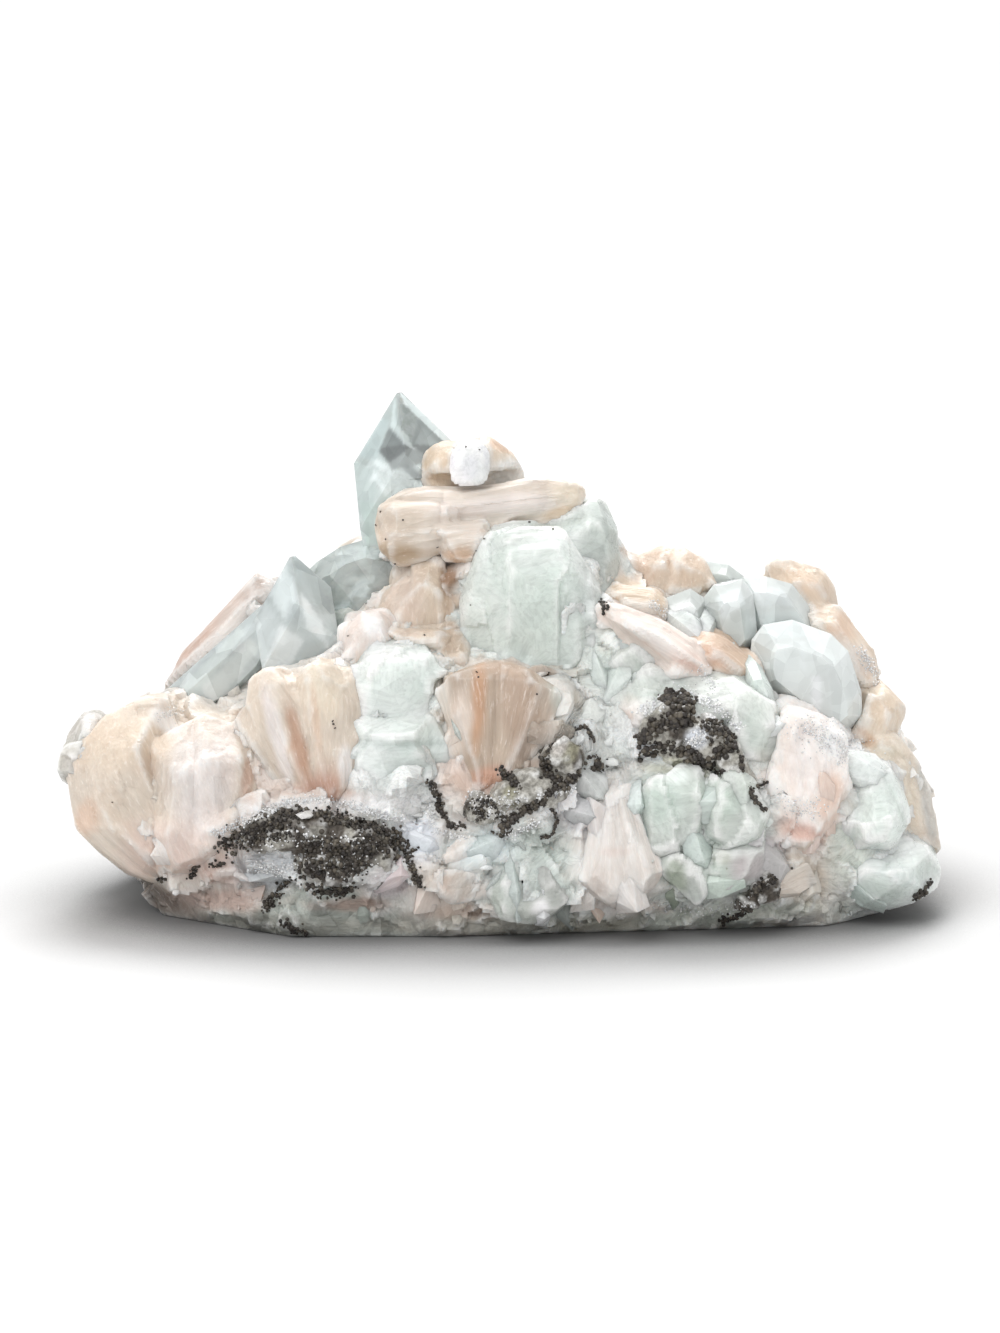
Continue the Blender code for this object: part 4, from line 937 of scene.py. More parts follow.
def mineral_finish():
    """Stilbite and broken rock: fine fibres along each blade where there are any, flat broken
    grains elsewhere, and a soft glow.
    """
    f = Finish("mineral")
    fan = f.attribute("fan", "Vector")
    fibre = f.attribute("fibre", "Fac")
    where = f.coordinates()
    coarse = f.noise(f.stretch(fan, (0.50, 0.50, 0.035)), 1.0, 4.0, 0.6)
    fine = f.noise(f.stretch(fan, (2.4, 2.4, 0.10)), 1.0, 3.0, 0.65)
    plate, plate_shade = f.facets(f.stretch(fan, (0.30, 0.30, 0.07)), 1.0, 0.9 * MM)
    cloud = f.noise(where, 150.0, 5.0, 0.62)
    grain = f.noise(where, 700.0, 4.0, 0.7)
    chip, chip_shade = f.facets(where, 420.0, 0.36)
    block, block_shade = f.facets(where, 190.0, 0.16)
    streak = f.streaks(where, 260.0, 2600.0)
    fibrous = f.times(
        f.spread(coarse, 0.3, 0.75, 0.95, 1.03), f.spread(fine, 0.3, 0.7, 0.96, 1.03),
        f.shade(plate_shade, 0.97, 1.03),
    )
    rocky = f.times(
        f.shade(chip_shade, 0.92, 1.05), f.shade(block_shade, 0.92, 1.05),
        f.spread(streak, 0.32, 0.62, 0.84, 1.06),
    )
    shade = f.times(f.spread(cloud, 0.3, 0.7, 0.93, 1.05), f.between(fibre, rocky, fibrous))
    colour = f.shaded(f.attribute("tint"), shade)
    warmth = f.times(fibre, f.spread(coarse, 0.60, 0.36, 0.0, 0.22))
    colour = f.mix(warmth, colour, (0.90, 0.78, 0.70, 1), "MULTIPLY")
    pale = f.times(fibre, f.spread(fine, 0.56, 0.74, 0.0, 0.40))
    f.feed("Base Color", f.mix(pale, colour, (0.92, 0.87, 0.83, 1)))
    f.set(IOR=1.50)
    f.glow(0.40, (1.0, 0.84, 0.74), 1.6)
    f.feed("Roughness", f.spread(fine, 0.3, 0.7, 0.30, 0.52))
    threads = f.plus(f.times(f.plus(coarse, f.times(fine, 0.5)), 0.30 * MM), plate)
    crumbs = f.plus(chip, block, f.times(streak, 0.16 * MM))
    f.bump((f.between(fibre, crumbs, threads), 1 / MM), (grain, 0.04))
    return f.material


def milky_finish():
    """Milky apophyllite: cloudy, with flat broken faces, fine streaks and a glassy skin."""
    f = Finish("milky")
    where = f.coordinates()
    cloud = f.noise(where, 70.0, 5.0, 0.62, 0.4)
    fine = f.noise(where, 900.0, 3.0, 0.6)
    block, block_shade = f.facets(where, 130.0, 0.06)
    chip, chip_shade = f.facets(where, 330.0, 0.08)
    streak = f.streaks(where, 170.0, 1500.0)
    tint = f.attribute("tint")
    cloudy = f.mix(1.0, tint, (0.88, 0.92, 0.90, 1), "MULTIPLY")
    shade = f.times(
        f.shade(block_shade, 0.94, 1.04), f.shade(chip_shade, 0.97, 1.03),
        f.spread(streak, 0.32, 0.60, 0.90, 1.03),
    )
    f.feed("Base Color", f.shaded(f.mix(f.spread(cloud, 0.36, 0.64), cloudy, tint), shade))
    f.set(IOR=1.535, Specular_IOR_Level=0.4)
    f.glow(0.6, (1.0, 1.0, 0.95), 3.2)
    f.feed("Roughness", f.spread(fine, 0.3, 0.7, 0.24, 0.42))
    f.bump((f.plus(block, chip, f.times(streak, 0.06 * MM)), 1 / MM))
    return f.material


def clear_finish():
    """Clear apophyllite: glassy, faintly blue-green, with facets inside and milky patches."""
    f = Finish("clear")
    where = f.coordinates()
    patch = f.noise(where, 110.0, 4.0, 0.6, 0.6)
    fine = f.noise(where, 700.0, 3.0, 0.5)
    block, block_shade = f.facets(f.stretch(where, (1.0, 1.0, 0.6)), 240.0, 0.05)
    _, crack_shade = f.facets(f.stretch(where, (1.0, 0.6, 1.0)), 520.0, 0.0)
    shade = f.times(f.shade(block_shade, 0.86, 1.08), f.shade(crack_shade, 0.94, 1.05))
    f.feed("Base Color", f.shaded(f.attribute("tint"), shade))
    milky = f.times(f.spread(patch, 0.40, 0.66, 1.0, 0.72), f.shade(crack_shade, 0.85, 1.0))
    f.feed("Transmission Weight", f.times(f.attribute("clear", "Fac"), milky))
    f.feed("Roughness", f.spread(patch, 0.40, 0.70, 0.03, 0.12))
    f.set(IOR=1.535)
    f.glow(0.5, (1.0, 1.0, 1.0), 2.0)
    f.bump((block, 1 / MM), (patch, 0.05), (fine, 0.006))
    return f.material


def veil_finish():
    """The cracks and veils inside the clear crystals."""
    f = Finish("veil")
    wisp = f.noise(f.coordinates(), 420.0, 4.0, 0.65, 0.8)
    f.feed("Base Color", f.attribute("tint"))
    f.feed("Alpha", f.times(f.spread(wisp, 0.35, 0.62, 0.15, 1.0), f.attribute("dense", "Fac")))
    f.set(Roughness=0.35)
    return f.material


def grain_finish(name, fineness, speckle, speckle_colour, depth):
    """Tiny crystals speckled with another colour: the finish and its fine noise."""
    f = Finish(name)
    fine = f.noise(f.coordinates(), *fineness, 0.6)
    speckled = f.mix(f.spread(fine, *speckle), f.attribute("tint"), speckle_colour, "MULTIPLY")
    f.feed("Base Color", speckled)
    f.bump((fine, depth))
    return f, fine


def druse_finish():
    """The dark druse."""
    f, fine = grain_finish(
        "druse", (1500.0, 3.0), (0.35, 0.65, 0.0, 0.5), (0.10, 0.08, 0.06, 1), 0.12
    )
    f.feed("Roughness", f.spread(fine, 0.3, 0.7, 0.28, 0.6))
    return f.material


def sugar_finish():
    """Tiny white crystals."""
    f, _ = grain_finish(
        "sugar", (1800.0, 2.0), (0.3, 0.7, 0.0, 0.4), (0.85, 0.87, 0.88, 1), 0.04
    )
    f.set(Roughness=0.25)
    f.glow(0.3, (1.0, 1.0, 1.0), 0.8)
    return f.material


MINERAL = mineral_finish()
MILKY = milky_finish()
CLEAR = clear_finish()
VEIL = veil_finish()
DRUSE = druse_finish()
SUGAR = sugar_finish()


# The stilbite

# Each sheaf, fan or blade: its colour, and its fibres
STILBITES = {
    "stilbite_bow_tie_top": ((232, 222, 211), [
        Bow(seen(380, 522, -8), seen(588, 498, -5)),
    ]),
    "stilbite_tablet_top": ((228, 212, 192), [Fan(seen(470, 540, 0), seen(472, 440, 0))]),
    "stilbite_twin_sheaf_left": ((228, 215, 200), [
        Fan(seen(328, 826, -29), seen(300, 662, -23)),
    ]),
    "stilbite_fan_left": ((226, 213, 198), [
        Fan(seen(228, 905, -19), seen(168, 725, -19), 14.0),
    ]),
    "stilbite_fan_centre": ((198, 180, 162), [Fan(seen(492, 796, -33), seen(498, 662, -25.5))]),
    "stilbite_barrel_centre": ((224, 208, 190), [Bow(seen(425, 710, -8), seen(430, 560, -8))]),
    "stilbite_finger_right": ((222, 198, 176), [Bow(seen(690, 640, -14), seen(757, 690, -14))]),
    "stilbite_pair_right": ((228, 211, 193), [Fan(seen(665, 640, 4), seen(665, 550, 4))]),
    "stilbite_stub_right": ((226, 208, 187), [Bow(seen(606, 600, -8), seen(668, 606, -8))]),
    "stilbite_finger_far_right": ((234, 218, 200), [Bow(seen(770, 570, 2), seen(872, 690, -2))]),
    "stilbite_fan_right": ((232, 221, 206), [Fan(seen(846, 820, -6), seen(925, 745, -6))]),
    "stilbite_blade_left_back": ((206, 190, 180), [Fan(seen(150, 705, 4), seen(252, 567, 4))]),
    "stilbite_stub_left_centre": ((232, 222, 216), [Bow(seen(372, 680, -15), seen(372, 612, -15))]),
    "stilbite_blade_right": ((234, 222, 214), [Bow(seen(600, 606, -18), seen(712, 675, -18))]),
    "stilbite_wall_right": ((246, 240, 236), [Fan(seen(800, 880, -20), seen(815, 720, -20))]),
    "stilbite_fan_low_centre": ((227, 222, 217), [Fan(seen(612, 790, -31), seen(622, 912, -35))]),
    "stilbite_wedge_low_left": ((218, 210, 202), [Fan(seen(440, 905, -30), seen(480, 830, -30))]),
    "stilbite_bow_tie_back": ((228, 216, 203), [Bow((-30.5, 21.7, 45), (2.5, 30.7, 42))]),
    "stilbite_fan_back": ((222, 206, 190), [Fan((6.5, 17.7, 6), (4.5, 35.7, 33))]),
    "stilbite_fan_back_left": ((224, 210, 196), [Fan((-35.5, 9.7, 4), (-58.5, 20.7, 24))]),
    "stilbite_sheaf_back_right": ((224, 208, 192), [Fan((34.5, 13.7, 6), (41.5, 33.7, 26))]),
    "stilbite_patch_back_left": ((222, 208, 194), [Fan((-21.5, 28.7, 12), (-21.5, 33.7, 34))]),
    "stilbite_patch_back_right": ((222, 206, 188), [Fan((34.5, 22.7, 22), (34.5, 30.7, 42))]),
    "stilbite_patch_back_top": ((224, 210, 194), [Bow((-30, 18.7, 50), (-14, 20.7, 56))]),
    "stilbite_patch_back_centre": ((230, 223, 216), [Fan((-7.5, 28.7, 2), (-7.5, 34.7, 18))]),
    "stilbite_patch_right": ((230, 222, 214), [Fan((52, 19.7, 2), (60, 19.7, 24))]),
}

# The sheaves and blades that are pearly white
WHITE = {
    "stilbite_stub_left_centre", "stilbite_blade_right", "stilbite_wall_right",
    "stilbite_fan_low_centre", "stilbite_wedge_low_left", "stilbite_patch_back_centre",
    "stilbite_patch_right",
}

# How high the fibres stand in mm, and how the patterns of fibres and blades are scaled
FIBRE_STEP = 0.10
FINE_STEP = 0.06
FIBRE_SHAPE = (1, 1, 0.10)
BLADE_SHAPE = (1, 1, 0.16)
BLADE_SIZE = 3.2


def name_number(node):
    """A whole number that belongs to a name."""
    return sum(ord(c) for c in node)


def grown(node, size, growth, cuts, keep, seed, solids):
    """A piece's surface: swollen a little, cut by flat faces and grown towards its neighbours."""
    surface = Surface(node, size)
    surface.push(np.full(len(surface.points), growth))
    surface.cut(cuts, CUTS.get(node, keep), seed)
    surface.reach_neighbours(*solids)
    return surface


def stilbite_surface(node, colour, fans, size, solids):
    """A stilbite piece: fibres raised along its blades."""
    seed = name_number(node)
    surface = grown(node, size, 0.35, 22, 0.98, seed % 97, solids)
    points = surface.points
    surface.laid = laid_along(fans, points)
    fibres, blades = surface.laid * FIBRE_SHAPE, surface.laid * BLADE_SHAPE
    lobes = ridged(fibres, 3.0, seed, 2)
    fine = noise(fibres * (1, 1, 0.6), 0.9, seed + 5)
    plates = broken(blades, BLADE_SIZE, seed + 6, 0.09, 0.05)
    surface.push(lobes * 2 * FIBRE_STEP - FIBRE_STEP + fine * FINE_STEP + plates)
    surface.paint(colour)
    cloud = fractal(points, 12.0, seed + 2, 3)
    own, _, _ = cells(blades, BLADE_SIZE, seed + 6)
    surface.tint *= (1 + 0.05 * cloud + 0.04 * (own * 2 - 1))[:, None]
    surface.blend((220, 186, 164), 0.18 * smooth(0.1, 0.9, fractal(points, 9.0, seed + 3, 3)))
    surface.read()
    surface.dress()
    surface.tint *= 1.0 if node in WHITE else STILBITE_SHADE
    return surface


def place_stilbite(surface):
    slot = "white_stilbite" if surface.node in WHITE else "peach_stilbite"
    place_surface(
        surface, slot, MINERAL, vectors={"fan": surface.laid},
        values={"fibre": np.ones(len(surface.points))}, sharp=24,
    )


# The milky apophyllite

MILKIES = {
    "apophyllite_button_top": (228, 229, 234),
    "apophyllite_block_middle": (222, 230, 227),
    "apophyllite_block_centre": (220, 229, 225),
    "apophyllite_ledge_right": (212, 219, 214),
    "apophyllite_block_low_right": (226, 234, 231),
    "apophyllite_block_low_centre": (200, 208, 202),
    "apophyllite_fan_low_left": (190, 198, 190),
    "apophyllite_lump_far_left": (190, 186, 177),
    "apophyllite_block_back_right": (210, 219, 213),
    "apophyllite_block_back_left": (210, 219, 213),
    "apophyllite_patch_back_left": (206, 216, 210),
    "apophyllite_patch_back_right": (206, 216, 210),
    "apophyllite_patch_left": (206, 216, 210),
}


# How large the coarse steps of a broken block are, and how high for the button beside the rest
BLOCK_STEP_SIZE = 9.0
BUTTON_STEPS = 0.2


def paler(tint):
    """The colours with a fifth of their strength taken out."""
    return tint + (tint.mean(1, keepdims=True) - tint) * 0.20


def milky_surface(node, colour, size, solids):
    """A milky block: broken faces with low steps."""
    seed = name_number(node)
    surface = grown(node, size, 0.5, 24, 0.96, seed % 89, solids)
    points = surface.points
    plates = points * (1.0, 1.0, 0.7)
    heights = (
        broken(plates, BLOCK_STEP_SIZE, seed, 0.22, 0.06) + broken(plates, 3.8, seed + 4, 0.06, 0.04)
    )
    surface.push(heights * (BUTTON_STEPS if "button" in node else 1.0))
    surface.paint(colour)
    own, _, _ = cells(plates, BLOCK_STEP_SIZE, seed)
    surface.tint *= (1 + 0.03 * (own * 2 - 1) + 0.02 * fractal(points, 14.0, seed + 2, 3))[:, None]
    surface.read()
    surface.dress()
    surface.tint = paler(surface.tint) * MILKY_SHADE
    return surface


# The clear apophyllite

# The colour of each clear crystal, as light
CLEARS = {
    "apophyllite_point_top": (0.76, 0.83, 0.82),
    "apophyllite_pair_left": (0.78, 0.85, 0.85),
    "apophyllite_group_right": (0.79, 0.83, 0.815),
    "apophyllite_block_right_back": (0.70, 0.75, 0.73),
    "apophyllite_point_back": (0.86, 0.92, 0.915),
    "apophyllite_point_back_low": (0.86, 0.92, 0.915),
    "apophyllite_patch_back_top": (0.86, 0.92, 0.915),
}


# How much light passes each of them
CLEARNESS = {
    "apophyllite_point_top": 0.78, "apophyllite_pair_left": 0.58, "apophyllite_group_right": 0.30,
    "apophyllite_block_right_back": 0.30,
}
OTHER_CLEARNESS = 0.6

# How fine the faces are divided for their painted veils and painted light and shade, and how strongly
# these are painted
POINT_STEP, SHOW_STEP, BACK_STEP = 0.42, 0.55, 1.2
POINT_PAINT, SHOW_PAINT = 1.1, 0.7
CLEAR_GROWTH = 0.25
MOST_ROUNDS = 9


def within(ring, u, v):
    """Which of the places lie in an outline of the show side."""
    odd = np.zeros(len(u), bool)
    for (u0, v0), (u1, v1) in zip(ring, ring[1:] + ring[:1]):
        if v0 != v1:
            odd ^= ((v0 > v) != (v1 > v)) & (u < (u1 - u0) * (v - v0) / (v1 - v0) + u0)
    return odd


def divided_faces(node, step):
    """A crystal's flat faces divided until no side is much longer than step."""
    bm = bmesh.new()
    bm.from_mesh(welded_copy(node))
    bmesh.ops.scale(bm, vec=(1 / MM, 1 / MM, 1 / MM), verts=bm.verts)
    bmesh.ops.dissolve_limit(bm, angle_limit=math.radians(3), verts=bm.verts, edges=bm.edges)
    bmesh.ops.triangulate(bm, faces=bm.faces)
    bm.normal_update()
    for vert in bm.verts:
        vert.co += vert.normal * CLEAR_GROWTH
    for _ in range(MOST_ROUNDS):
        long = [e for e in bm.edges if e.calc_length() > step * 1.5]
        if not long:
            break
        bmesh.ops.subdivide_edges(bm, edges=long, cuts=1)
        bmesh.ops.triangulate(bm, faces=bm.faces)
    bm.normal_update()
    normals = np.array([v.normal for v in bm.verts])
    return *arrays_of(bm), normals


def clear_piece(node, colour):
    """A clear crystal: its flat faces with painted cracks, painted shade and painted highlights, and
    milky patches.
    """
    is_point = node == "apophyllite_point_top"
    step = POINT_STEP if is_point else BACK_STEP if "back" in node else SHOW_STEP
    points, faces, normals = divided_faces(node, step * COARSE)
    tint = np.tile(colour, (len(points), 1)) * (1 + 0.03 * fractal(points, 10, 5, 4))[:, None]
    clear = np.full(len(points), CLEARNESS.get(node, OTHER_CLEARNESS))
    u, v = projected(points)
    front = smooth(-0.05, 0.15, -(normals @ FORWARD))
    # Painted cracks, and painted shade and highlights where the table gives them
    for outline, shade, dense in VEILS_AND_PAINTED_LIGHT.get(node, ()):
        flat = np.repeat((within(outline, u, v) * front)[:, None], 3, axis=1)
        painted = relaxed(flat, faces, 0.5, 1)[:, 0] * dense * (POINT_PAINT if is_point else SHOW_PAINT)
        tint += (linear(shade) - tint) * painted[:, None]
        clear *= 1 - 0.85 * painted
    made = add_mesh(
        node + "_surface", points, faces, colours={"tint": tint}, values={"clear": clear}, sharp=12
    )
    place(made, "clear_apophyllite", CLEAR, node)


# Veils and painted light: the cracks seen in a clear crystal, together with dark grey patches painted as
# shade for what the crystal refracts, a darker left face on the tall point as painted shade, and pale
# strips along its ridges as painted highlights. Each is an outline of the picture, its colour and how
# strongly it shows.
VEILS_AND_PAINTED_LIGHT = {
    "apophyllite_point_top": [
        # Painted shade over the left face, which the lamps light more than the rest
        ([(348, 464), (395, 394), (404, 444), (378, 470), (366, 560), (348, 500)], (182, 197, 196), 0.40),
        # Dark grey patches: painted shade for what the crystal refracts
        ([(390, 426), (377, 452), (390, 463), (412, 446), (397, 434)], (112, 118, 118), 0.75),
        ([(417, 416), (448, 440), (432, 460), (411, 444)], (128, 136, 136), 0.6),
        ([(378, 448), (412, 444), (438, 446), (432, 462), (392, 470)], (108, 112, 112), 0.6),
        ([(403, 470), (420, 484), (424, 476), (408, 464)], (110, 116, 118), 0.6),
        # Pale strip down the middle ridge: painted highlight
        ([(395, 396), (390, 427), (404, 444), (414, 450), (408, 436), (396, 424)], (232, 242, 242), 0.5),
        ([(358, 456), (378, 418), (390, 420), (376, 462)], (186, 200, 200), 0.6),
        ([(374, 470), (362, 492), (366, 494), (377, 476)], (232, 240, 240), 0.6),
        ([(374, 470), (392, 498), (388, 500), (371, 476)], (232, 240, 240), 0.6),
        ([(376, 458), (398, 474), (396, 480), (374, 464)], (232, 240, 240), 0.6),
        ([(360, 500), (392, 506), (384, 548), (366, 545)], (192, 210, 204), 0.6),
        ([(355, 462), (374, 470), (362, 500), (352, 496)], (194, 206, 204), 0.6),
        ([(366, 478), (392, 500), (390, 524), (360, 500)], (186, 199, 196), 0.5),
        # Pale strip down the right ridge: painted highlight
        ([(400, 392), (456, 440), (446, 444), (404, 404)], (232, 242, 242), 0.8),
    ],
    "apophyllite_pair_left": [
        ([(285, 562), (270, 596), (286, 622), (298, 598)], (238, 246, 246), 0.8),
        ([(266, 600), (250, 650), (262, 664), (282, 624)], (226, 234, 234), 0.7),
        ([(300, 590), (322, 622), (330, 650), (306, 626)], (240, 246, 247), 0.8),
        ([(306, 628), (330, 654), (324, 676), (296, 660)], (168, 176, 176), 0.6),
        ([(280, 626), (304, 640), (290, 668), (262, 668)], (246, 250, 250), 0.8),
        ([(288, 600), (304, 612), (300, 628), (286, 622)], (150, 158, 160), 0.6),
        ([(200, 690), (250, 640), (262, 646), (214, 706)], (236, 240, 236), 0.6),
        ([(180, 690), (240, 626), (246, 632), (192, 700)], (198, 206, 200), 0.6),
    ],
    "apophyllite_group_right": [
        ([(745, 616), (800, 622), (870, 646), (868, 738), (740, 738)], (226, 231, 230), 1.0),
        ([(660, 590), (745, 590), (745, 655), (668, 650)], (190, 195, 191), 0.6),
        ([(812, 676), (822, 676), (820, 722), (812, 724)], (248, 250, 252), 0.95),
        ([(800, 640), (806, 642), (806, 672), (800, 668)], (240, 244, 245), 0.7),
        ([(768, 650), (800, 640), (842, 660), (826, 676), (780, 672)], (228, 234, 233), 0.6),
        ([(760, 680), (790, 690), (806, 712), (780, 706)], (232, 238, 236), 0.7),
        ([(826, 690), (850, 680), (856, 716), (836, 730)], (214, 220, 218), 0.6),
        ([(668, 606), (690, 598), (698, 616), (676, 632)], (248, 250, 250), 0.9),
        ([(676, 634), (700, 618), (706, 640), (690, 648)], (178, 184, 184), 0.6),
        ([(716, 596), (740, 588), (746, 604), (722, 620)], (236, 242, 244), 0.8),
        ([(724, 624), (748, 606), (752, 630), (736, 656)], (190, 198, 196), 0.6),
        ([(746, 586), (780, 588), (796, 606), (760, 606)], (232, 238, 240), 0.7),
        ([(752, 610), (800, 610), (814, 636), (770, 640)], (222, 230, 230), 0.6),
    ],
}

# The loose sheets in a crystal: their number, colour, smallest and largest reach and density, how
# finely they are divided, how much they bend, and how deep in the crystal they stay
SHEETS = 16
SHEET_COLOUR = (236, 242, 242)
SHEET_REACHES = (2.0, 5.0)
SHEET_DENSITIES = (0.25, 0.6)
SHEET_STEP = 0.8
SHEET_BEND = 0.35
SHEET_MARGIN = 0.35


def inside(tree, point):
    where, normal, _, distance = tree.find_nearest(point)
    return (point - where).dot(normal) < 0 and distance > SHEET_MARGIN


def crystal_veils(node):
    """Round, bent sheets inside a clear crystal, clipped to it."""
    solid = NODES[node].data
    solid.calc_loop_triangles()
    tree = BVHTree.FromPolygons(
        [v.co / MM for v in solid.vertices], [tuple(t.vertices) for t in solid.loop_triangles]
    )
    chance = random.Random(len(node))
    low, high = (Vector(c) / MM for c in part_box(node))
    sheets = []
    for _ in range(SHEETS):
        middle = Vector([chance.uniform(a, b) for a, b in zip(low, high)])
        normal = Vector([chance.gauss(0, 1) for _ in range(3)]).normalized()
        sheets.append((middle, normal, chance.uniform(*SHEET_DENSITIES)))
    points, faces, density = [], [], []
    for middle, normal, dense in sheets:
        side = normal.orthogonal().normalized()
        other = normal.cross(side)
        reach = chance.uniform(*SHEET_REACHES)
        phase = chance.uniform(0, 6)
        kept = {}
        for i, j in itertools.product(range(int(2 * reach / SHEET_STEP) + 1), repeat=2):
            a, b = i * SHEET_STEP - reach, j * SHEET_STEP - reach
            bend = SHEET_BEND * math.sin(a * 0.7 + phase) * math.cos(b * 0.6)
            point = middle + side * a + other * b + normal * bend
            if math.hypot(a, b) < reach and inside(tree, point):
                kept[i, j] = len(points)
                points.append(tuple(point))
        for i, j in kept:
            corners = [(i, j), (i + 1, j), (i + 1, j + 1), (i, j + 1)]
            if all(corner in kept for corner in corners):
                faces.append([kept[corner] for corner in corners])
        density += [dense] * len(kept)
    if not faces:
        return
    made = add_mesh(
        node + "_veils", np.array(points), np.array(faces),
        colours={"tint": np.tile(linear(SHEET_COLOUR), (len(points), 1))},
        values={"dense": np.array(density)},
    )
    drop_loose_points(made)
    place(made, "clear_apophyllite", VEIL)


def drop_loose_points(made):
    """Drops points without faces."""
    bm = bmesh.new()
    bm.from_mesh(made.data)
    loose = [v for v in bm.verts if not v.link_faces]
    bmesh.ops.delete(bm, geom=loose, context="VERTS")
    bm.to_mesh(made.data)
    bm.free()


# The matrix

ROCK_COLOURS = [(198, 203, 196), (210, 208, 200), (196, 190, 180), (218, 217, 213), (184, 189, 182)]

# How finely the hollows between the pieces are read, how far from a piece they are filled, and
# how deep under its front the filling stays
FILL_STEP = 2.2
FILL_REACH = 8.0
FILL_AHEAD = 3.0
FILL_SPREAD = 2.4
FILL_BIAS = 3.0
FILL_UNDER = 1.5
MOST_FILL = 9.0

# How finely the pieces' colours are read, and how far from a piece the matrix keeps its colour
COLOUR_STEP = 0.9
SAME_COLOUR = (2.0, 10.0)
COLOUR_WANDER = 2.0

# Where the show side and the back of the matrix's skin meet
SPLIT = 4.0


def tree_of(points):
    tree = KDTree(len(points))
    for k, point in enumerate(points):
        tree.insert(point, k)
    tree.balance()
    return tree


def grouped(points, step):
    """Points gathered in cubes: the index of a point of each cube, and each point's cube."""
    keys = np.round(points / step).astype(int)
    _, first, group = np.unique(keys, axis=0, return_index=True, return_inverse=True)
    return first, group.reshape(-1)


def filled(surface, pieces):
    """How far the matrix has to rise between the pieces to lie just under their fronts."""
    around = np.concatenate([piece.points[::7] for piece in pieces])
    facing = np.concatenate([piece.normals[::7] for piece in pieces])
    tree = tree_of(around)
    first, group = grouped(surface.points, FILL_STEP)
    rise = np.zeros(len(first))
    for slot, k in enumerate(first):
        point, normal = surface.points[k], surface.normals[k]
        near = [index for _, index, _ in tree.find_range(point + normal * FILL_AHEAD, FILL_REACH)]
        if not near:
            continue
        offset = around[near] - point
        height = offset @ normal
        aside = np.linalg.norm(offset - height[:, None] * normal, axis=1)
        weight = np.exp(-((aside / FILL_SPREAD) ** 2)) * np.clip(facing[near] @ normal, 0, 1)
        whole = weight.sum()
        if whole > 1e-6:
            weight = weight * np.exp(np.clip(height, -4, 9) / FILL_BIAS)
            rise[slot] = (weight @ height / weight.sum() - FILL_UNDER) * smooth(0.0, 0.3, whole)
    return surface.spread_out(np.clip(rise, 0, MOST_FILL)[group], 24)


def matrix_surface(size, pieces):
    """The matrix: broken rock that is raised between the pieces, with a plain foot."""
    surface = Surface("matrix", size)
    surface.push(filled(surface, pieces) * smooth(1.0, 6.0, surface.points[:, 2]))
    surface.points = relaxed(surface.points, surface.faces, 0.5, 3)
    surface.read()
    points = surface.points
    heights = broken(points, 6.5, 61, 0.45, 0.22) + broken(points, 2.8, 62, 0.12, 0.12)
    surface.push(heights * smooth(0.2, 2.0, points[:, 2]))
    surface.read()
    colour_matrix(surface, pieces)
    surface.dress()
    return surface


def colour_matrix(surface, pieces):
    """Gives the matrix the colours of the rock, and near a piece that piece's own."""
    points = surface.points
    own, _, _ = cells(points, 6.0, 61)
    picked = np.array([linear(c) for c in ROCK_COLOURS])
    patchy = np.clip((fractal(points, 16.0, 64, 3) * 0.5 + 0.5 + (own - 0.5) * 0.6), 0, 0.999)
    surface.tint = relaxed(picked[(patchy * len(picked)).astype(int)], surface.faces, 0.5, 2)
    light = [piece for piece in pieces if not piece.node.startswith("druse")]
    tints = np.concatenate([piece.tint[::9] for piece in light])
    fibrous = np.concatenate([np.full(len(p.points[::9]), p.node in STILBITES) for p in light])
    tree = tree_of(np.concatenate([piece.points[::9] for piece in light]))
    first, group = grouped(points, COLOUR_STEP)
    nearest = np.zeros(len(first), int)
    gap = np.zeros(len(first))
    for slot, k in enumerate(first):
        point = points[k]
        wander = np.array([math.sin(point[2] * 1.3), 0, math.cos(point[0] * 1.1)])
        nearest[slot] = tree.find(point + COLOUR_WANDER * wander)[1]
        gap[slot] = tree.find(point)[2]
    surface.gap = gap[group]
    share = 1 - smooth(*SAME_COLOUR, surface.gap + 2.0 * fractal(points, 5.0, 66, 2))
    surface.tint += (tints[nearest][group] - surface.tint) * (share * 0.9)[:, None]
    surface.tint = relaxed(surface.tint, surface.faces, 0.5, 2)
    fans = [fan for _, own_fans in STILBITES.values() for fan in own_fans]
    surface.laid = laid_along(fans, points)
    surface.fibre = surface.spread_out(fibrous[nearest][group] * share, 3)


def place_matrix(surface):
    """The matrix as a show side and a back, which meet on the same line of points."""
    back = surface.points[surface.faces][:, :, 1].mean(1) > SPLIT
    for name, faces, replaced in (
        ("matrix_surface", surface.faces[~back], ["matrix"]),
        ("matrix_surface_back", surface.faces[back], []),
    ):
        used, faces = np.unique(faces, return_inverse=True)
        made = add_mesh(
            name, surface.points[used], faces.reshape(-1, 4),
            colours={"tint": surface.tint[used]}, vectors={"fan": surface.laid[used]},
            values={"fibre": surface.fibre[used]}, sharp=22,
        )
        place(made, "matrix", MINERAL, *replaced)


# Shards: the small crystals of the show side


SHARD_SIDES = 6


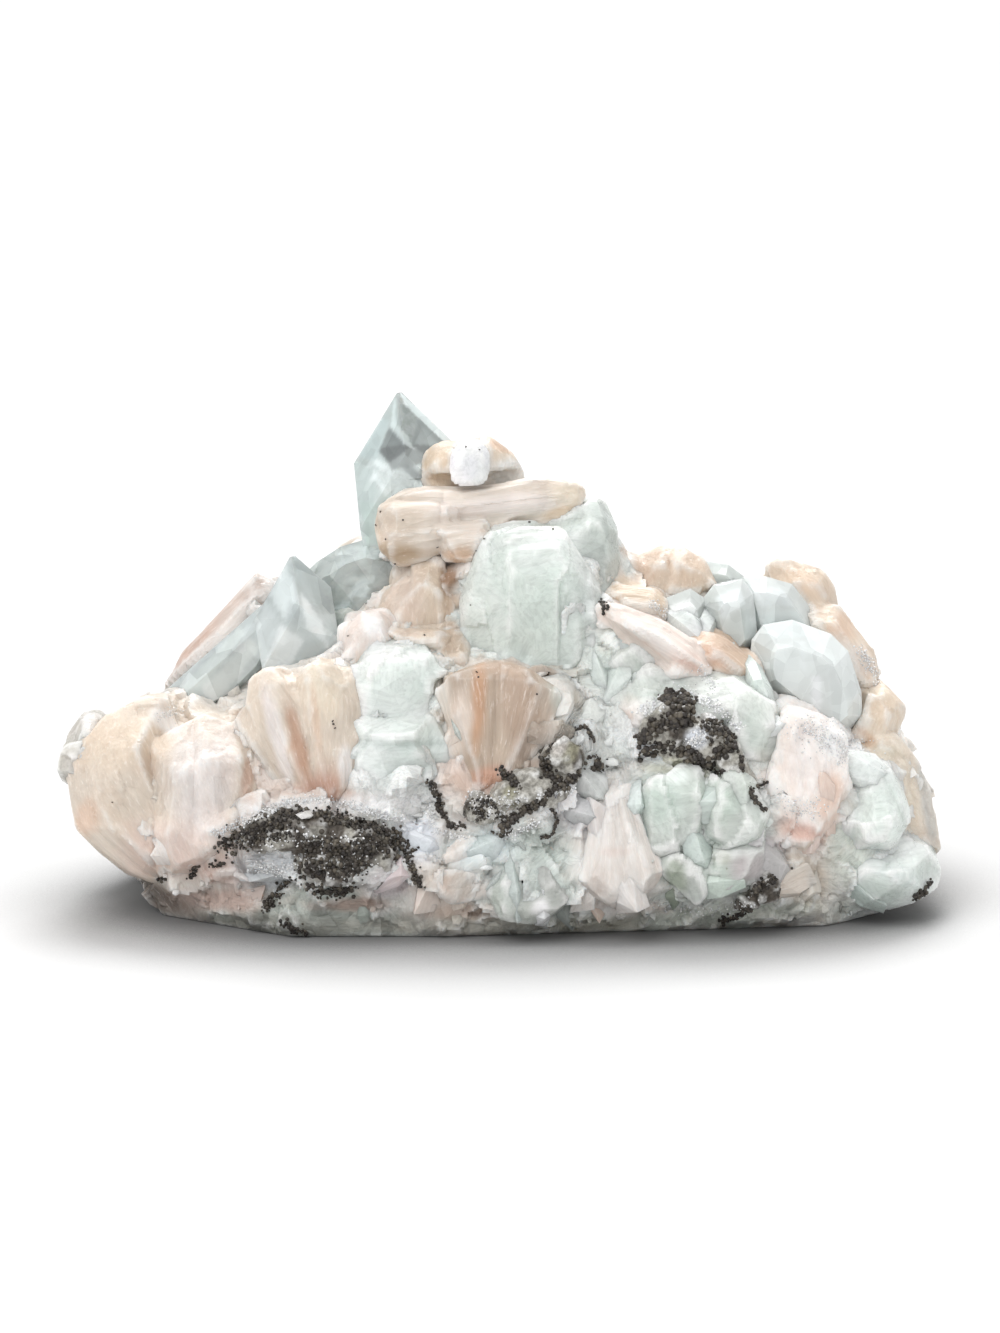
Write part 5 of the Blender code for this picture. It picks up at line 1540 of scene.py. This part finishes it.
class Shard:
    """A small crystal with flat faces: a blade from root to tip, or a block where it is stubby."""

    def __init__(self, root, tip, width, thick, seed, end=0.6, foot=0.6):
        self.fan = Fan(root, tip, behind=6.0)
        chance = random.Random(seed)
        axis, side, other = self.fan.axis, self.fan.side, self.fan.other
        bm = bmesh.new()
        for share, fill in ((0.0, foot), (0.25, (foot + 1) / 2), (0.7, 1.0), (1.0, end)):
            middle = self.fan.root + axis * self.fan.length * share
            for k in range(SHARD_SIDES):
                turn = math.tau * (k + 0.5 * chance.random()) / SHARD_SIDES
                reach = fill * chance.uniform(0.85, 1.1)
                slant = chance.uniform(-0.5, 0.5) * width * (share > 0.9)
                bm.verts.new(
                    middle + axis * slant + side * math.cos(turn) * width * reach / 2
                    + other * math.sin(turn) * thick * reach / 2
                )
        hull = bmesh.ops.convex_hull(bm, input=bm.verts)
        inner = list(set(hull["geom_interior"] + hull["geom_unused"]))
        bmesh.ops.delete(bm, geom=inner, context="VERTS")
        bmesh.ops.dissolve_limit(bm, angle_limit=math.radians(9), verts=bm.verts, edges=bm.edges)
        bmesh.ops.triangulate(bm, faces=bm.faces)
        bmesh.ops.recalc_face_normals(bm, faces=bm.faces)
        self.points, self.faces = arrays_of(bm)


# The druse

# How much of each crust is pale
PALE_SHARES = {"druse_crust_centre": 0.80, "druse_crust_right": 0.75}
OTHER_PALE_SHARE = 0.50


def druse_surface(node, size):
    """A drusy crust: a crowd of round buds."""
    surface = Surface(node, size)
    surface.cut(20, 0.90, 7)
    surface.push(broken(surface.points, 3.0, 75, 0.35, 0.22))
    surface.read()
    points = surface.points
    _, away, _ = cells(points, 1.5, 71)
    bud = np.sqrt(np.clip(1 - (away**2).sum(1) / 1.1, 0, 1))
    surface.push(-0.15 + 0.3 * bud + 0.12 * noise(points, 0.9, 72))
    surface.read()
    pale = PALE_SHARES.get(node, OTHER_PALE_SHARE)
    surface.paint((92, 84, 75))
    surface.blend((180, 177, 168), smooth(0.05, 0.35, noise(points, 2.6, 73) + 2 * pale - 1))
    # Painted shade: darker low between the buds
    surface.tint *= (0.7 + 0.3 * smooth(0.1, 0.5, bud))[:, None]
    surface.dress()
    return surface


# Each small crystal of the show side: its root and tip, width, thickness, how far it stands out,
# and colour
SHOW_STILBITE = [
    ((550, 846), (600, 914), 15, 5.0, 0.8, (228, 205, 188)),
    ((438, 828), (426, 902), 34, 7.0, 0.5, (226, 211, 200)),
    ((456, 838), (462, 908), 22, 6.0, 0.6, (230, 217, 204)),
    ((616, 854), (616, 788), 42, 7.0, 0.8, (230, 226, 222)),
    ((602, 852), (592, 800), 26, 6.0, 0.7, (224, 218, 215)),
    ((210, 902), (262, 888), 30, 7.0, 0.3, (212, 192, 182)),
    ((800, 850), (812, 906), 30, 7.0, 0.4, (224, 216, 204)),
    ((762, 892), (800, 878), 32, 7.0, 0.4, (220, 208, 195)),
    ((812, 800), (806, 850), 26, 6.0, 0.4, (236, 214, 204)),
    ((832, 846), (824, 776), 26, 6.0, 0.4, (232, 208, 194)),
    ((598, 858), (586, 902), 30, 7.0, 0.4, (226, 221, 216)),
    ((618, 860), (630, 896), 32, 7.0, 0.4, (228, 223, 219)),
    ((372, 892), (402, 870), 22, 6.0, 0.4, (214, 200, 202)),
    ((470, 690), (456, 740), 22, 6.0, 0.3, (228, 212, 198)),
]
SHOW_APOPHYLLITE = [
    ((516, 838), (572, 916), 34, 8.0, 0.7, (182, 189, 184)),
    ((508, 846), (520, 914), 26, 7.0, 0.5, (192, 203, 198)),
    ((541, 886), (542, 922), 22, 6.0, 0.9, (247, 250, 250)),
    ((560, 802), (602, 820), 32, 8.0, -0.1, (206, 204, 206)),
    ((574, 770), (608, 796), 34, 8.0, 0.5, (206, 208, 206)),
    ((462, 858), (508, 840), 38, 8.0, 0.5, (220, 230, 230)),
    ((480, 902), (506, 866), 34, 8.0, 0.4, (208, 215, 211)),
    ((652, 760), (660, 862), 40, 9.0, 0.8, (208, 220, 214)),
    ((688, 810), (746, 802), 52, 10.0, 0.6, (202, 213, 206)),
    ((688, 826), (706, 874), 34, 8.0, 0.5, (204, 215, 209)),
    ((706, 857), (736, 852), 22, 6.0, 0.5, (190, 190, 172)),
    ((746, 842), (782, 872), 40, 9.0, 0.0, (204, 197, 198)),
    ((686, 888), (734, 880), 34, 8.0, 0.4, (203, 216, 205)),
    ((674, 854), (676, 902), 24, 7.0, 0.4, (168, 179, 160)),
    ((846, 856), (838, 908), 24, 8.0, 0.4, (198, 194, 186)),
    ((575, 752), (602, 700), 40, 8.0, 0.4, (218, 222, 217)),
    ((604, 716), (628, 664), 36, 8.0, 0.4, (217, 226, 220)),
    ((618, 690), (660, 676), 36, 8.0, 0.4, (210, 217, 212)),
    ((588, 640), (608, 700), 26, 7.0, 0.4, (222, 230, 226)),
    ((400, 830), (440, 858), 40, 8.0, 0.4, (228, 232, 240)),
    ((242, 872), (292, 858), 34, 7.0, 0.4, (212, 214, 218)),
    ((452, 700), (470, 744), 26, 7.0, 0.3, (218, 222, 216)),
    ((702, 640), (720, 604), 30, 7.0, 0.4, (214, 218, 216)),
    ((668, 614), (700, 640), 32, 7.0, 0.4, (218, 222, 221)),
    ((600, 640), (650, 650), 30, 7.0, 0.3, (216, 224, 221)),
    ((748, 664), (768, 706), 26, 7.0, 0.4, (208, 216, 212)),
    ((846, 762), (884, 780), 32, 8.0, 0.4, (228, 232, 230)),
    ((350, 618), (320, 640), 40, 8.0, 0.3, (210, 216, 210)),
    ((760, 736), (790, 724), 26, 7.0, 0.3, (226, 230, 228)),
    ((640, 780), (636, 824), 24, 7.0, 0.5, (220, 230, 226)),
    ((728, 756), (748, 806), 38, 8.0, 0.3, (214, 220, 212)),
    ((845, 876), (880, 900), 32, 8.0, 0.4, (206, 218, 212)),
]


# The show side's shards: how much further out they stand low down, from which place on, their
# fill at end and foot, and how far apart their fibre patterns lie
LOW_FROM, LOW_OUT = 770, 0.8
STILBITE_FILLS = (1.0, 0.4)
APOPHYLLITE_FILLS = (0.6, 0.6)
PATTERN_APART = 30.0


def show_shards(show, name, rows, fills, slot, finish):
    """Small crystals of the show side, each set into what lies behind it."""
    heap, laid = Heap(), []
    for k, (*seen_ends, width, thick, out, colour) in enumerate(rows):
        ends = []
        for u, v in seen_ends:
            where, _ = show.hit(u, v)
            if where is not None:
                further = LOW_OUT if v > LOW_FROM else 0.0
                ends.append(np.array(where) + FORWARD * (thick / 2 - out - further))
        if len(ends) < 2:
            continue
        shard = Shard(*ends, width * VIEW_UNIT, thick, 40 + k, *fills)
        heap.add(shard.points, shard.faces, paler(linear(colour)[None]))
        laid.append(shard.fan.lay(shard.points) + (PATTERN_APART * k, 0, 0))
    made = heap.made(
        name, vectors={"fan": np.concatenate(laid)}, values={"fibre": np.ones(heap.count)}, sharp=10
    )
    place(made, slot, finish)


# Chips: broken crystals strewn over the whole matrix
CHIPS = 420
CHIP_SIZES = (0.7, 2.6)
CHIP_GAP = 1.9
CHIP_LOWEST = 2.0


def strewn_chips(matrix):
    """Small angular crystals half sunk in the matrix, coloured like what they grow from."""
    chance = random.Random(17)
    heap = Heap()
    open_rock = np.nonzero((matrix.points[:, 2] > CHIP_LOWEST) & (matrix.gap > CHIP_GAP))[0]
    smallest, largest = CHIP_SIZES
    for k in range(CHIPS):
        index = open_rock[chance.randrange(len(open_rock))]
        size = smallest + (largest - smallest) * chance.random() ** 1.8
        way = matrix.normals[index] + np.array([chance.gauss(0, 0.7) for _ in range(3)])
        way /= np.linalg.norm(way)
        length = size * chance.uniform(0.9, 1.8)
        root = matrix.points[index] - way * length * 0.7
        shade = chance.uniform(0.94, 1.07)
        shard = Shard(root, root + way * length, size, size * chance.uniform(0.4, 0.9), 900 + k)
        heap.add(shard.points, shard.faces, matrix.tint[index] * shade)
    place(heap.made("broken_chips", sharp=10), "milky_apophyllite", MILKY)


# Grains: dark druse buds, white sugar and specks


def ball(detail):
    bm = bmesh.new()
    bmesh.ops.create_icosphere(bm, subdivisions=detail, radius=1)
    return arrays_of(bm)


BALLS = {detail: ball(detail) for detail in (1, 2)}

# A grain larger than this is a rounder ball. How deep grains are sunk, and how flat they may be
ROUND_FROM = 0.42
GRAIN_SUNK = 0.3
GRAIN_FLAT = 0.85


class Show:
    """The show side's surface, for setting grains on it."""

    def __init__(self, surfaces):
        points, faces, start = [], [], 0
        for surface in surfaces:
            front = surface.facing[surface.faces].max(1) > -0.1
            points.append(surface.points)
            faces.append(surface.faces[front] + start)
            start += len(surface.points)
        self.tree = BVHTree.FromPolygons(
            np.concatenate(points).tolist(), np.concatenate(faces).tolist()
        )

    def hit(self, u, v):
        return self.tree.ray_cast(Vector(EYE), Vector(ray(u, v)))[:2]


class Grains(Heap):
    """A crowd of tiny grains in one mesh."""

    def __init__(self, seed):
        super().__init__()
        self.chance = random.Random(seed)

    def add_grain(self, where, normal, size, colour):
        shape, faces = BALLS[2 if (size > ROUND_FROM) else 1]
        way = Vector([self.chance.gauss(0, 1) for _ in range(3)])
        turn = np.array(way.to_track_quat("Z", "Y").to_matrix())
        stretch = [self.chance.uniform(GRAIN_FLAT, 1 / GRAIN_FLAT) for _ in range(3)]
        shape = (shape * stretch) @ turn.T * size
        raised = np.array(normal) * size * (1 - 2 * GRAIN_SUNK)
        self.add(shape + np.array(where) + raised, faces, linear(colour))

    def strew(self, show, line, width, count, sizes, colours):
        """Grains along a line of the show side, thicker towards its middle."""
        lengths = [math.dist(a, b) for a, b in zip(line, line[1:])]
        small, large = sizes
        for _ in range(count):
            pick = self.chance.uniform(0, sum(lengths))
            for (u0, v0), (u1, v1), length in zip(line, line[1:], lengths):
                if pick <= length or length == lengths[-1]:
                    break
                pick -= length
            t = min(1.0, pick / max(length, 1e-6))
            u = u0 + (u1 - u0) * t + self.chance.gauss(0, width / 2.4)
            v = v0 + (v1 - v0) * t + self.chance.gauss(0, width / 2.4)
            where, normal = show.hit(u, v)
            if where is None:
                continue
            size = small + (large - small) * self.chance.random() ** 1.6
            colour = self.chance.choice(colours)
            shade = self.chance.uniform(0.85, 1.12)
            self.add_grain(where, normal, size, [min(255, c * shade) for c in colour])


DARK = [(74, 68, 60), (60, 54, 48), (92, 85, 74), (50, 44, 40)]
FROST = [(242, 242, 244), (236, 238, 240), (230, 229, 227)]

# Each line of dark buds: its corners, width, number of grains, and smallest and largest size
DARK_LINES = [
    ([(218, 846), (246, 833), (272, 822), (300, 812), (335, 816), (362, 826)], 9, 430, (0.15, 0.42)),
    ([(228, 852), (262, 838), (292, 832)], 9, 130, (0.15, 0.40)),
    ([(362, 826), (392, 832), (408, 850), (410, 866)], 9, 170, (0.15, 0.42)),
    ([(300, 842), (330, 848), (360, 846), (392, 846)], 13, 300, (0.15, 0.45)),
    ([(302, 868), (330, 868), (366, 862)], 15, 250, (0.15, 0.45)),
    ([(308, 886), (330, 894), (354, 888)], 8, 130, (0.15, 0.42)),
    ([(288, 878), (276, 896), (262, 912)], 6, 90, (0.15, 0.40)),
    ([(412, 868), (416, 880), (422, 892)], 5, 46, (0.15, 0.40)),
    ([(158, 880), (167, 877)], 3, 16, (0.15, 0.35)),
    ([(190, 878), (196, 867)], 4, 26, (0.15, 0.38)),
    ([(206, 867), (214, 866), (226, 862)], 4, 26, (0.15, 0.35)),
    ([(280, 922), (296, 930), (306, 932)], 5, 46, (0.2, 0.42)),
    ([(429, 782), (438, 795), (442, 812), (452, 826), (464, 826)], 4, 150, (0.15, 0.42)),
    ([(474, 808), (480, 816), (484, 800)], 9, 70, (0.12, 0.36)),
    ([(500, 772), (512, 778), (518, 786)], 6, 70, (0.12, 0.42)),
    ([(488, 800), (500, 818), (518, 820)], 5, 60, (0.12, 0.34)),
    ([(503, 828), (522, 812), (545, 800), (556, 786)], 5, 230, (0.15, 0.44)),
    ([(545, 758), (548, 776), (562, 784), (580, 776), (602, 764)], 7, 230, (0.15, 0.46)),
    ([(547, 752), (556, 738), (568, 730), (586, 727), (594, 741)], 2.2, 110, (0.14, 0.32)),
    ([(588, 756), (598, 758), (596, 766)], 2.5, 34, (0.14, 0.32)),
    ([(551, 808), (557, 820), (552, 834), (540, 838)], 2.2, 70, (0.14, 0.30)),
    ([(493, 832), (504, 836), (513, 830)], 2, 36, (0.12, 0.28)),
    ([(664, 700), (680, 698), (692, 708)], 10, 170, (0.22, 0.52)),
    ([(640, 742), (650, 730), (668, 722), (688, 720)], 10, 190, (0.22, 0.55)),
    ([(642, 754), (668, 746), (692, 756), (712, 764)], 7, 170, (0.22, 0.52)),
    ([(712, 722), (728, 736), (730, 750), (714, 756)], 9, 140, (0.22, 0.52)),
    ([(692, 718), (708, 726), (712, 744)], 5, 26, (0.2, 0.40)),
    ([(713, 771), (722, 773), (732, 775), (744, 780), (754, 798), (766, 812)], 2.8, 120, (0.18, 0.42)),
    ([(742, 772), (741, 756)], 2.5, 30, (0.18, 0.40)),
    ([(744, 786), (754, 788), (768, 782)], 2.2, 34, (0.16, 0.38)),
    ([(790, 870), (776, 878), (758, 890), (740, 902)], 6, 190, (0.16, 0.42)),
    ([(790, 880), (782, 874)], 4, 46, (0.16, 0.40)),
    ([(750, 908), (736, 916), (720, 922)], 4, 90, (0.16, 0.38)),
    ([(930, 882), (922, 892), (914, 898)], 4, 60, (0.2, 0.42)),
    ([(602, 602), (606, 612)], 4, 44, (0.15, 0.34)),
]

# The same for the white sugar
FROST_LINES = [
    ([(214, 834), (250, 820), (285, 803), (320, 799), (360, 808), (404, 822)], 6, 900, (0.07, 0.22)),
    ([(240, 846), (300, 836), (380, 846)], 14, 160, (0.08, 0.24)),
    ([(310, 862), (372, 862)], 20, 160, (0.08, 0.24)),
    ([(250, 866), (284, 872), (300, 860)], 9, 160, (0.07, 0.20)),
    ([(428, 804), (436, 832), (466, 838)], 5, 190, (0.07, 0.22)),
    ([(470, 800), (500, 812), (520, 800)], 16, 240, (0.07, 0.22)),
    ([(540, 796), (575, 788), (606, 772)], 6, 220, (0.07, 0.22)),
    ([(500, 838), (540, 822)], 6, 160, (0.07, 0.20)),
    ([(640, 712), (680, 690), (720, 708), (740, 730)], 8, 420, (0.08, 0.26)),
    ([(690, 742), (706, 736)], 8, 130, (0.08, 0.24)),
    ([(800, 726), (836, 742), (868, 764)], 20, 620, (0.06, 0.18)),
    ([(640, 900), (690, 912), (760, 905)], 8, 160, (0.07, 0.20)),
    ([(780, 800), (800, 812), (820, 806)], 15, 160, (0.06, 0.16)),
    ([(160, 715), (178, 712)], 10, 90, (0.06, 0.14)),
    ([(860, 650), (880, 680)], 8, 200, (0.07, 0.18)),
    ([(650, 602), (672, 620)], 8, 120, (0.06, 0.16)),
    ([(700, 668), (716, 690)], 7, 120, (0.06, 0.16)),
]


# Single dark specks
SPECKS = [
    (380, 512), (376, 525), (403, 520), (385, 539), (437, 547), (476, 551), (484, 539), (529, 522),
    (552, 529), (465, 447), (479, 450), (394, 564), (364, 561), (366, 604), (424, 635), (348, 636),
    (332, 721), (333, 724), (334, 728), (470, 605), (476, 672), (478, 677), (536, 694), (112, 802),
]
SPECK_SIZES = (0.10, 0.20)


def strewn(show):
    """The dark buds, the specks and the white sugar."""
    dark, frost = Grains(3), Grains(4)
    share = 1.0
    for line, width, count, sizes in DARK_LINES:
        dark.strew(show, line, width, int(count * share), sizes, DARK)
    for u, v in SPECKS:
        dark.strew(show, [(u, v), (u + 1, v)], 0.6, 2, SPECK_SIZES, DARK)
    for line, width, count, sizes in FROST_LINES:
        frost.strew(show, line, width, int(count * share), sizes, FROST)
    place(dark.made("druse_grains"), "dark_druse", DRUSE)
    place(frost.made("sugar_grains", sharp=20), "white_stilbite", SUGAR)


# The studio

# Half the floor's width in mm, and in metres how far its painted contact shadow near the piece reaches
FLOOR_HALF = 9000
PAINTED_SHADOW_REACH = 0.045

# Each lamp: its name, strength, softness in degrees and direction
LAMPS = [("key", 1.30, 40, (0.50, 0.62, -1.0)), ("top", 2.1, 30, (-0.04, -0.72, -1.0))]

# The sky's light, how bright it looks through a crystal, and how much more straight on
SKY_LIGHT = 0.80
SKY_SEEN = 0.88
SKY_STRAIGHT_ON = 0.14
WHITE_LIGHT = (1, 1, 1, 1)


def add_floor():
    corners = [(-1, -1, 0), (1, -1, 0), (1, 1, 0), (-1, 1, 0)]
    floor = add_mesh("floor", np.array(corners, float) * FLOOR_HALF, np.array([(0, 1, 2, 3)]))
    f = Finish("paper")
    f.set(Roughness=1.0, Specular_IOR_Level=0.0)
    open_sky = f.add("ShaderNodeAmbientOcclusion", {"samples": 8}, Distance=PAINTED_SHADOW_REACH)
    # Painted contact shadow: the floor's colour darkens where ambient occlusion finds the cluster close
    f.feed("Base Color", f.grey(f.spread(open_sky.outputs["AO"], 0.36, 0.98, 0.22, 0.68)))
    floor.data.materials.append(f.material)


def add_lights():
    for name, energy, softness, way in LAMPS:
        sun = bpy.data.lights.new(name, "SUN")
        sun.energy = energy
        sun.angle = math.radians(softness)
        lamp = bpy.data.objects.new(name, sun)
        lamp.rotation_euler = Vector(way).to_track_quat("-Z", "Y").to_euler()
        bpy.context.scene.collection.objects.link(lamp)


def add_sky():
    world = bpy.data.worlds.new("sky")
    bpy.context.scene.world = world
    world.use_nodes = True
    sky = Nodes(world.node_tree)
    light = world.node_tree.nodes["Background"]
    sky.plug_all((light.inputs["Color"], light.inputs["Strength"]), (WHITE_LIGHT, SKY_LIGHT))
    path = sky.add("ShaderNodeLightPath").outputs
    brightness = sky.math("MULTIPLY_ADD", path["Is Camera Ray"], SKY_STRAIGHT_ON, SKY_SEEN)
    backdrop = sky.add("ShaderNodeBackground", Color=WHITE_LIGHT, Strength=brightness)
    is_seen = sky.math("MAXIMUM", path["Is Camera Ray"], path["Is Transmission Ray"])
    both = sky.add("ShaderNodeMixShader")
    sky.plug_all(both.inputs, (is_seen, light.outputs[0], backdrop.outputs[0]))
    sky.plug(world.node_tree.nodes["World Output"].inputs["Surface"], both.outputs[0])


def add_camera():
    camera = bpy.data.cameras.new("camera")
    camera.sensor_width = SENSOR
    camera.lens = SENSOR * VIEW_DISTANCE / (PICTURE_HEIGHT * VIEW_UNIT)
    camera.clip_end = 50
    eye = bpy.data.objects.new("camera", camera)
    eye.location = EYE * MM
    eye.rotation_euler = Vector(FORWARD).to_track_quat("-Z", "Y").to_euler()
    bpy.context.scene.collection.objects.link(eye)
    bpy.context.scene.camera = eye
    bpy.context.scene.view_settings.view_transform = "Standard"


# How fine the surfaces are, in mm
STILBITE_MESH = 0.48
MILKY_MESH = 0.5
BACK_MESH = 0.76
DRUSE_MESH = 0.42
MATRIX_MESH = 0.56


def solids_tree():
    """All the solids as one tree, and whose each face is."""
    points, faces, owners, start = [], [], [], 0
    for name, node in NODES.items():
        if name == "matrix":
            continue
        node.data.calc_loop_triangles()
        points += [tuple(v.co / MM) for v in node.data.vertices]
        own = [tuple(k + start for k in t.vertices) for t in node.data.loop_triangles]
        faces += own
        owners += [name] * len(own)
        start = len(points)
    return BVHTree.FromPolygons(points, faces), owners


def main():
    surfaces = {}
    solids = solids_tree()
    for node, (colour, fans) in STILBITES.items():
        size = BACK_MESH if "back" in node else STILBITE_MESH
        surfaces[node] = stilbite_surface(node, colour, fans, size, solids)
    for node, colour in MILKIES.items():
        size = BACK_MESH if "back" in node else MILKY_MESH
        surfaces[node] = milky_surface(node, colour, size, solids)
    for node in NODES:
        if node.startswith("druse"):
            surfaces[node] = druse_surface(node, DRUSE_MESH)
    surfaces["matrix"] = matrix_surface(MATRIX_MESH, list(surfaces.values()))
    for node, surface in surfaces.items():
        if node in STILBITES:
            place_stilbite(surface)
        elif node in MILKIES:
            place_surface(surface, "milky_apophyllite", MILKY, sharp=20)
        elif node == "matrix":
            place_matrix(surface)
        else:
            place_surface(surface, "dark_druse", DRUSE)
    for node, colour in CLEARS.items():
        clear_piece(node, colour)
    for node in CLEARS:
        crystal_veils(node)
    strewn_chips(surfaces["matrix"])
    for surface in surfaces.values():
        surface.read()
    show = Show(surfaces.values())
    show_shards(show, "stilbite_shards", SHOW_STILBITE, STILBITE_FILLS, "white_stilbite", MINERAL)
    show_shards(
        show, "apophyllite_shards", SHOW_APOPHYLLITE, APOPHYLLITE_FILLS, "milky_apophyllite", MILKY
    )
    strewn(show)
    add_floor()
    add_lights()
    add_sky()
    add_camera()


main()
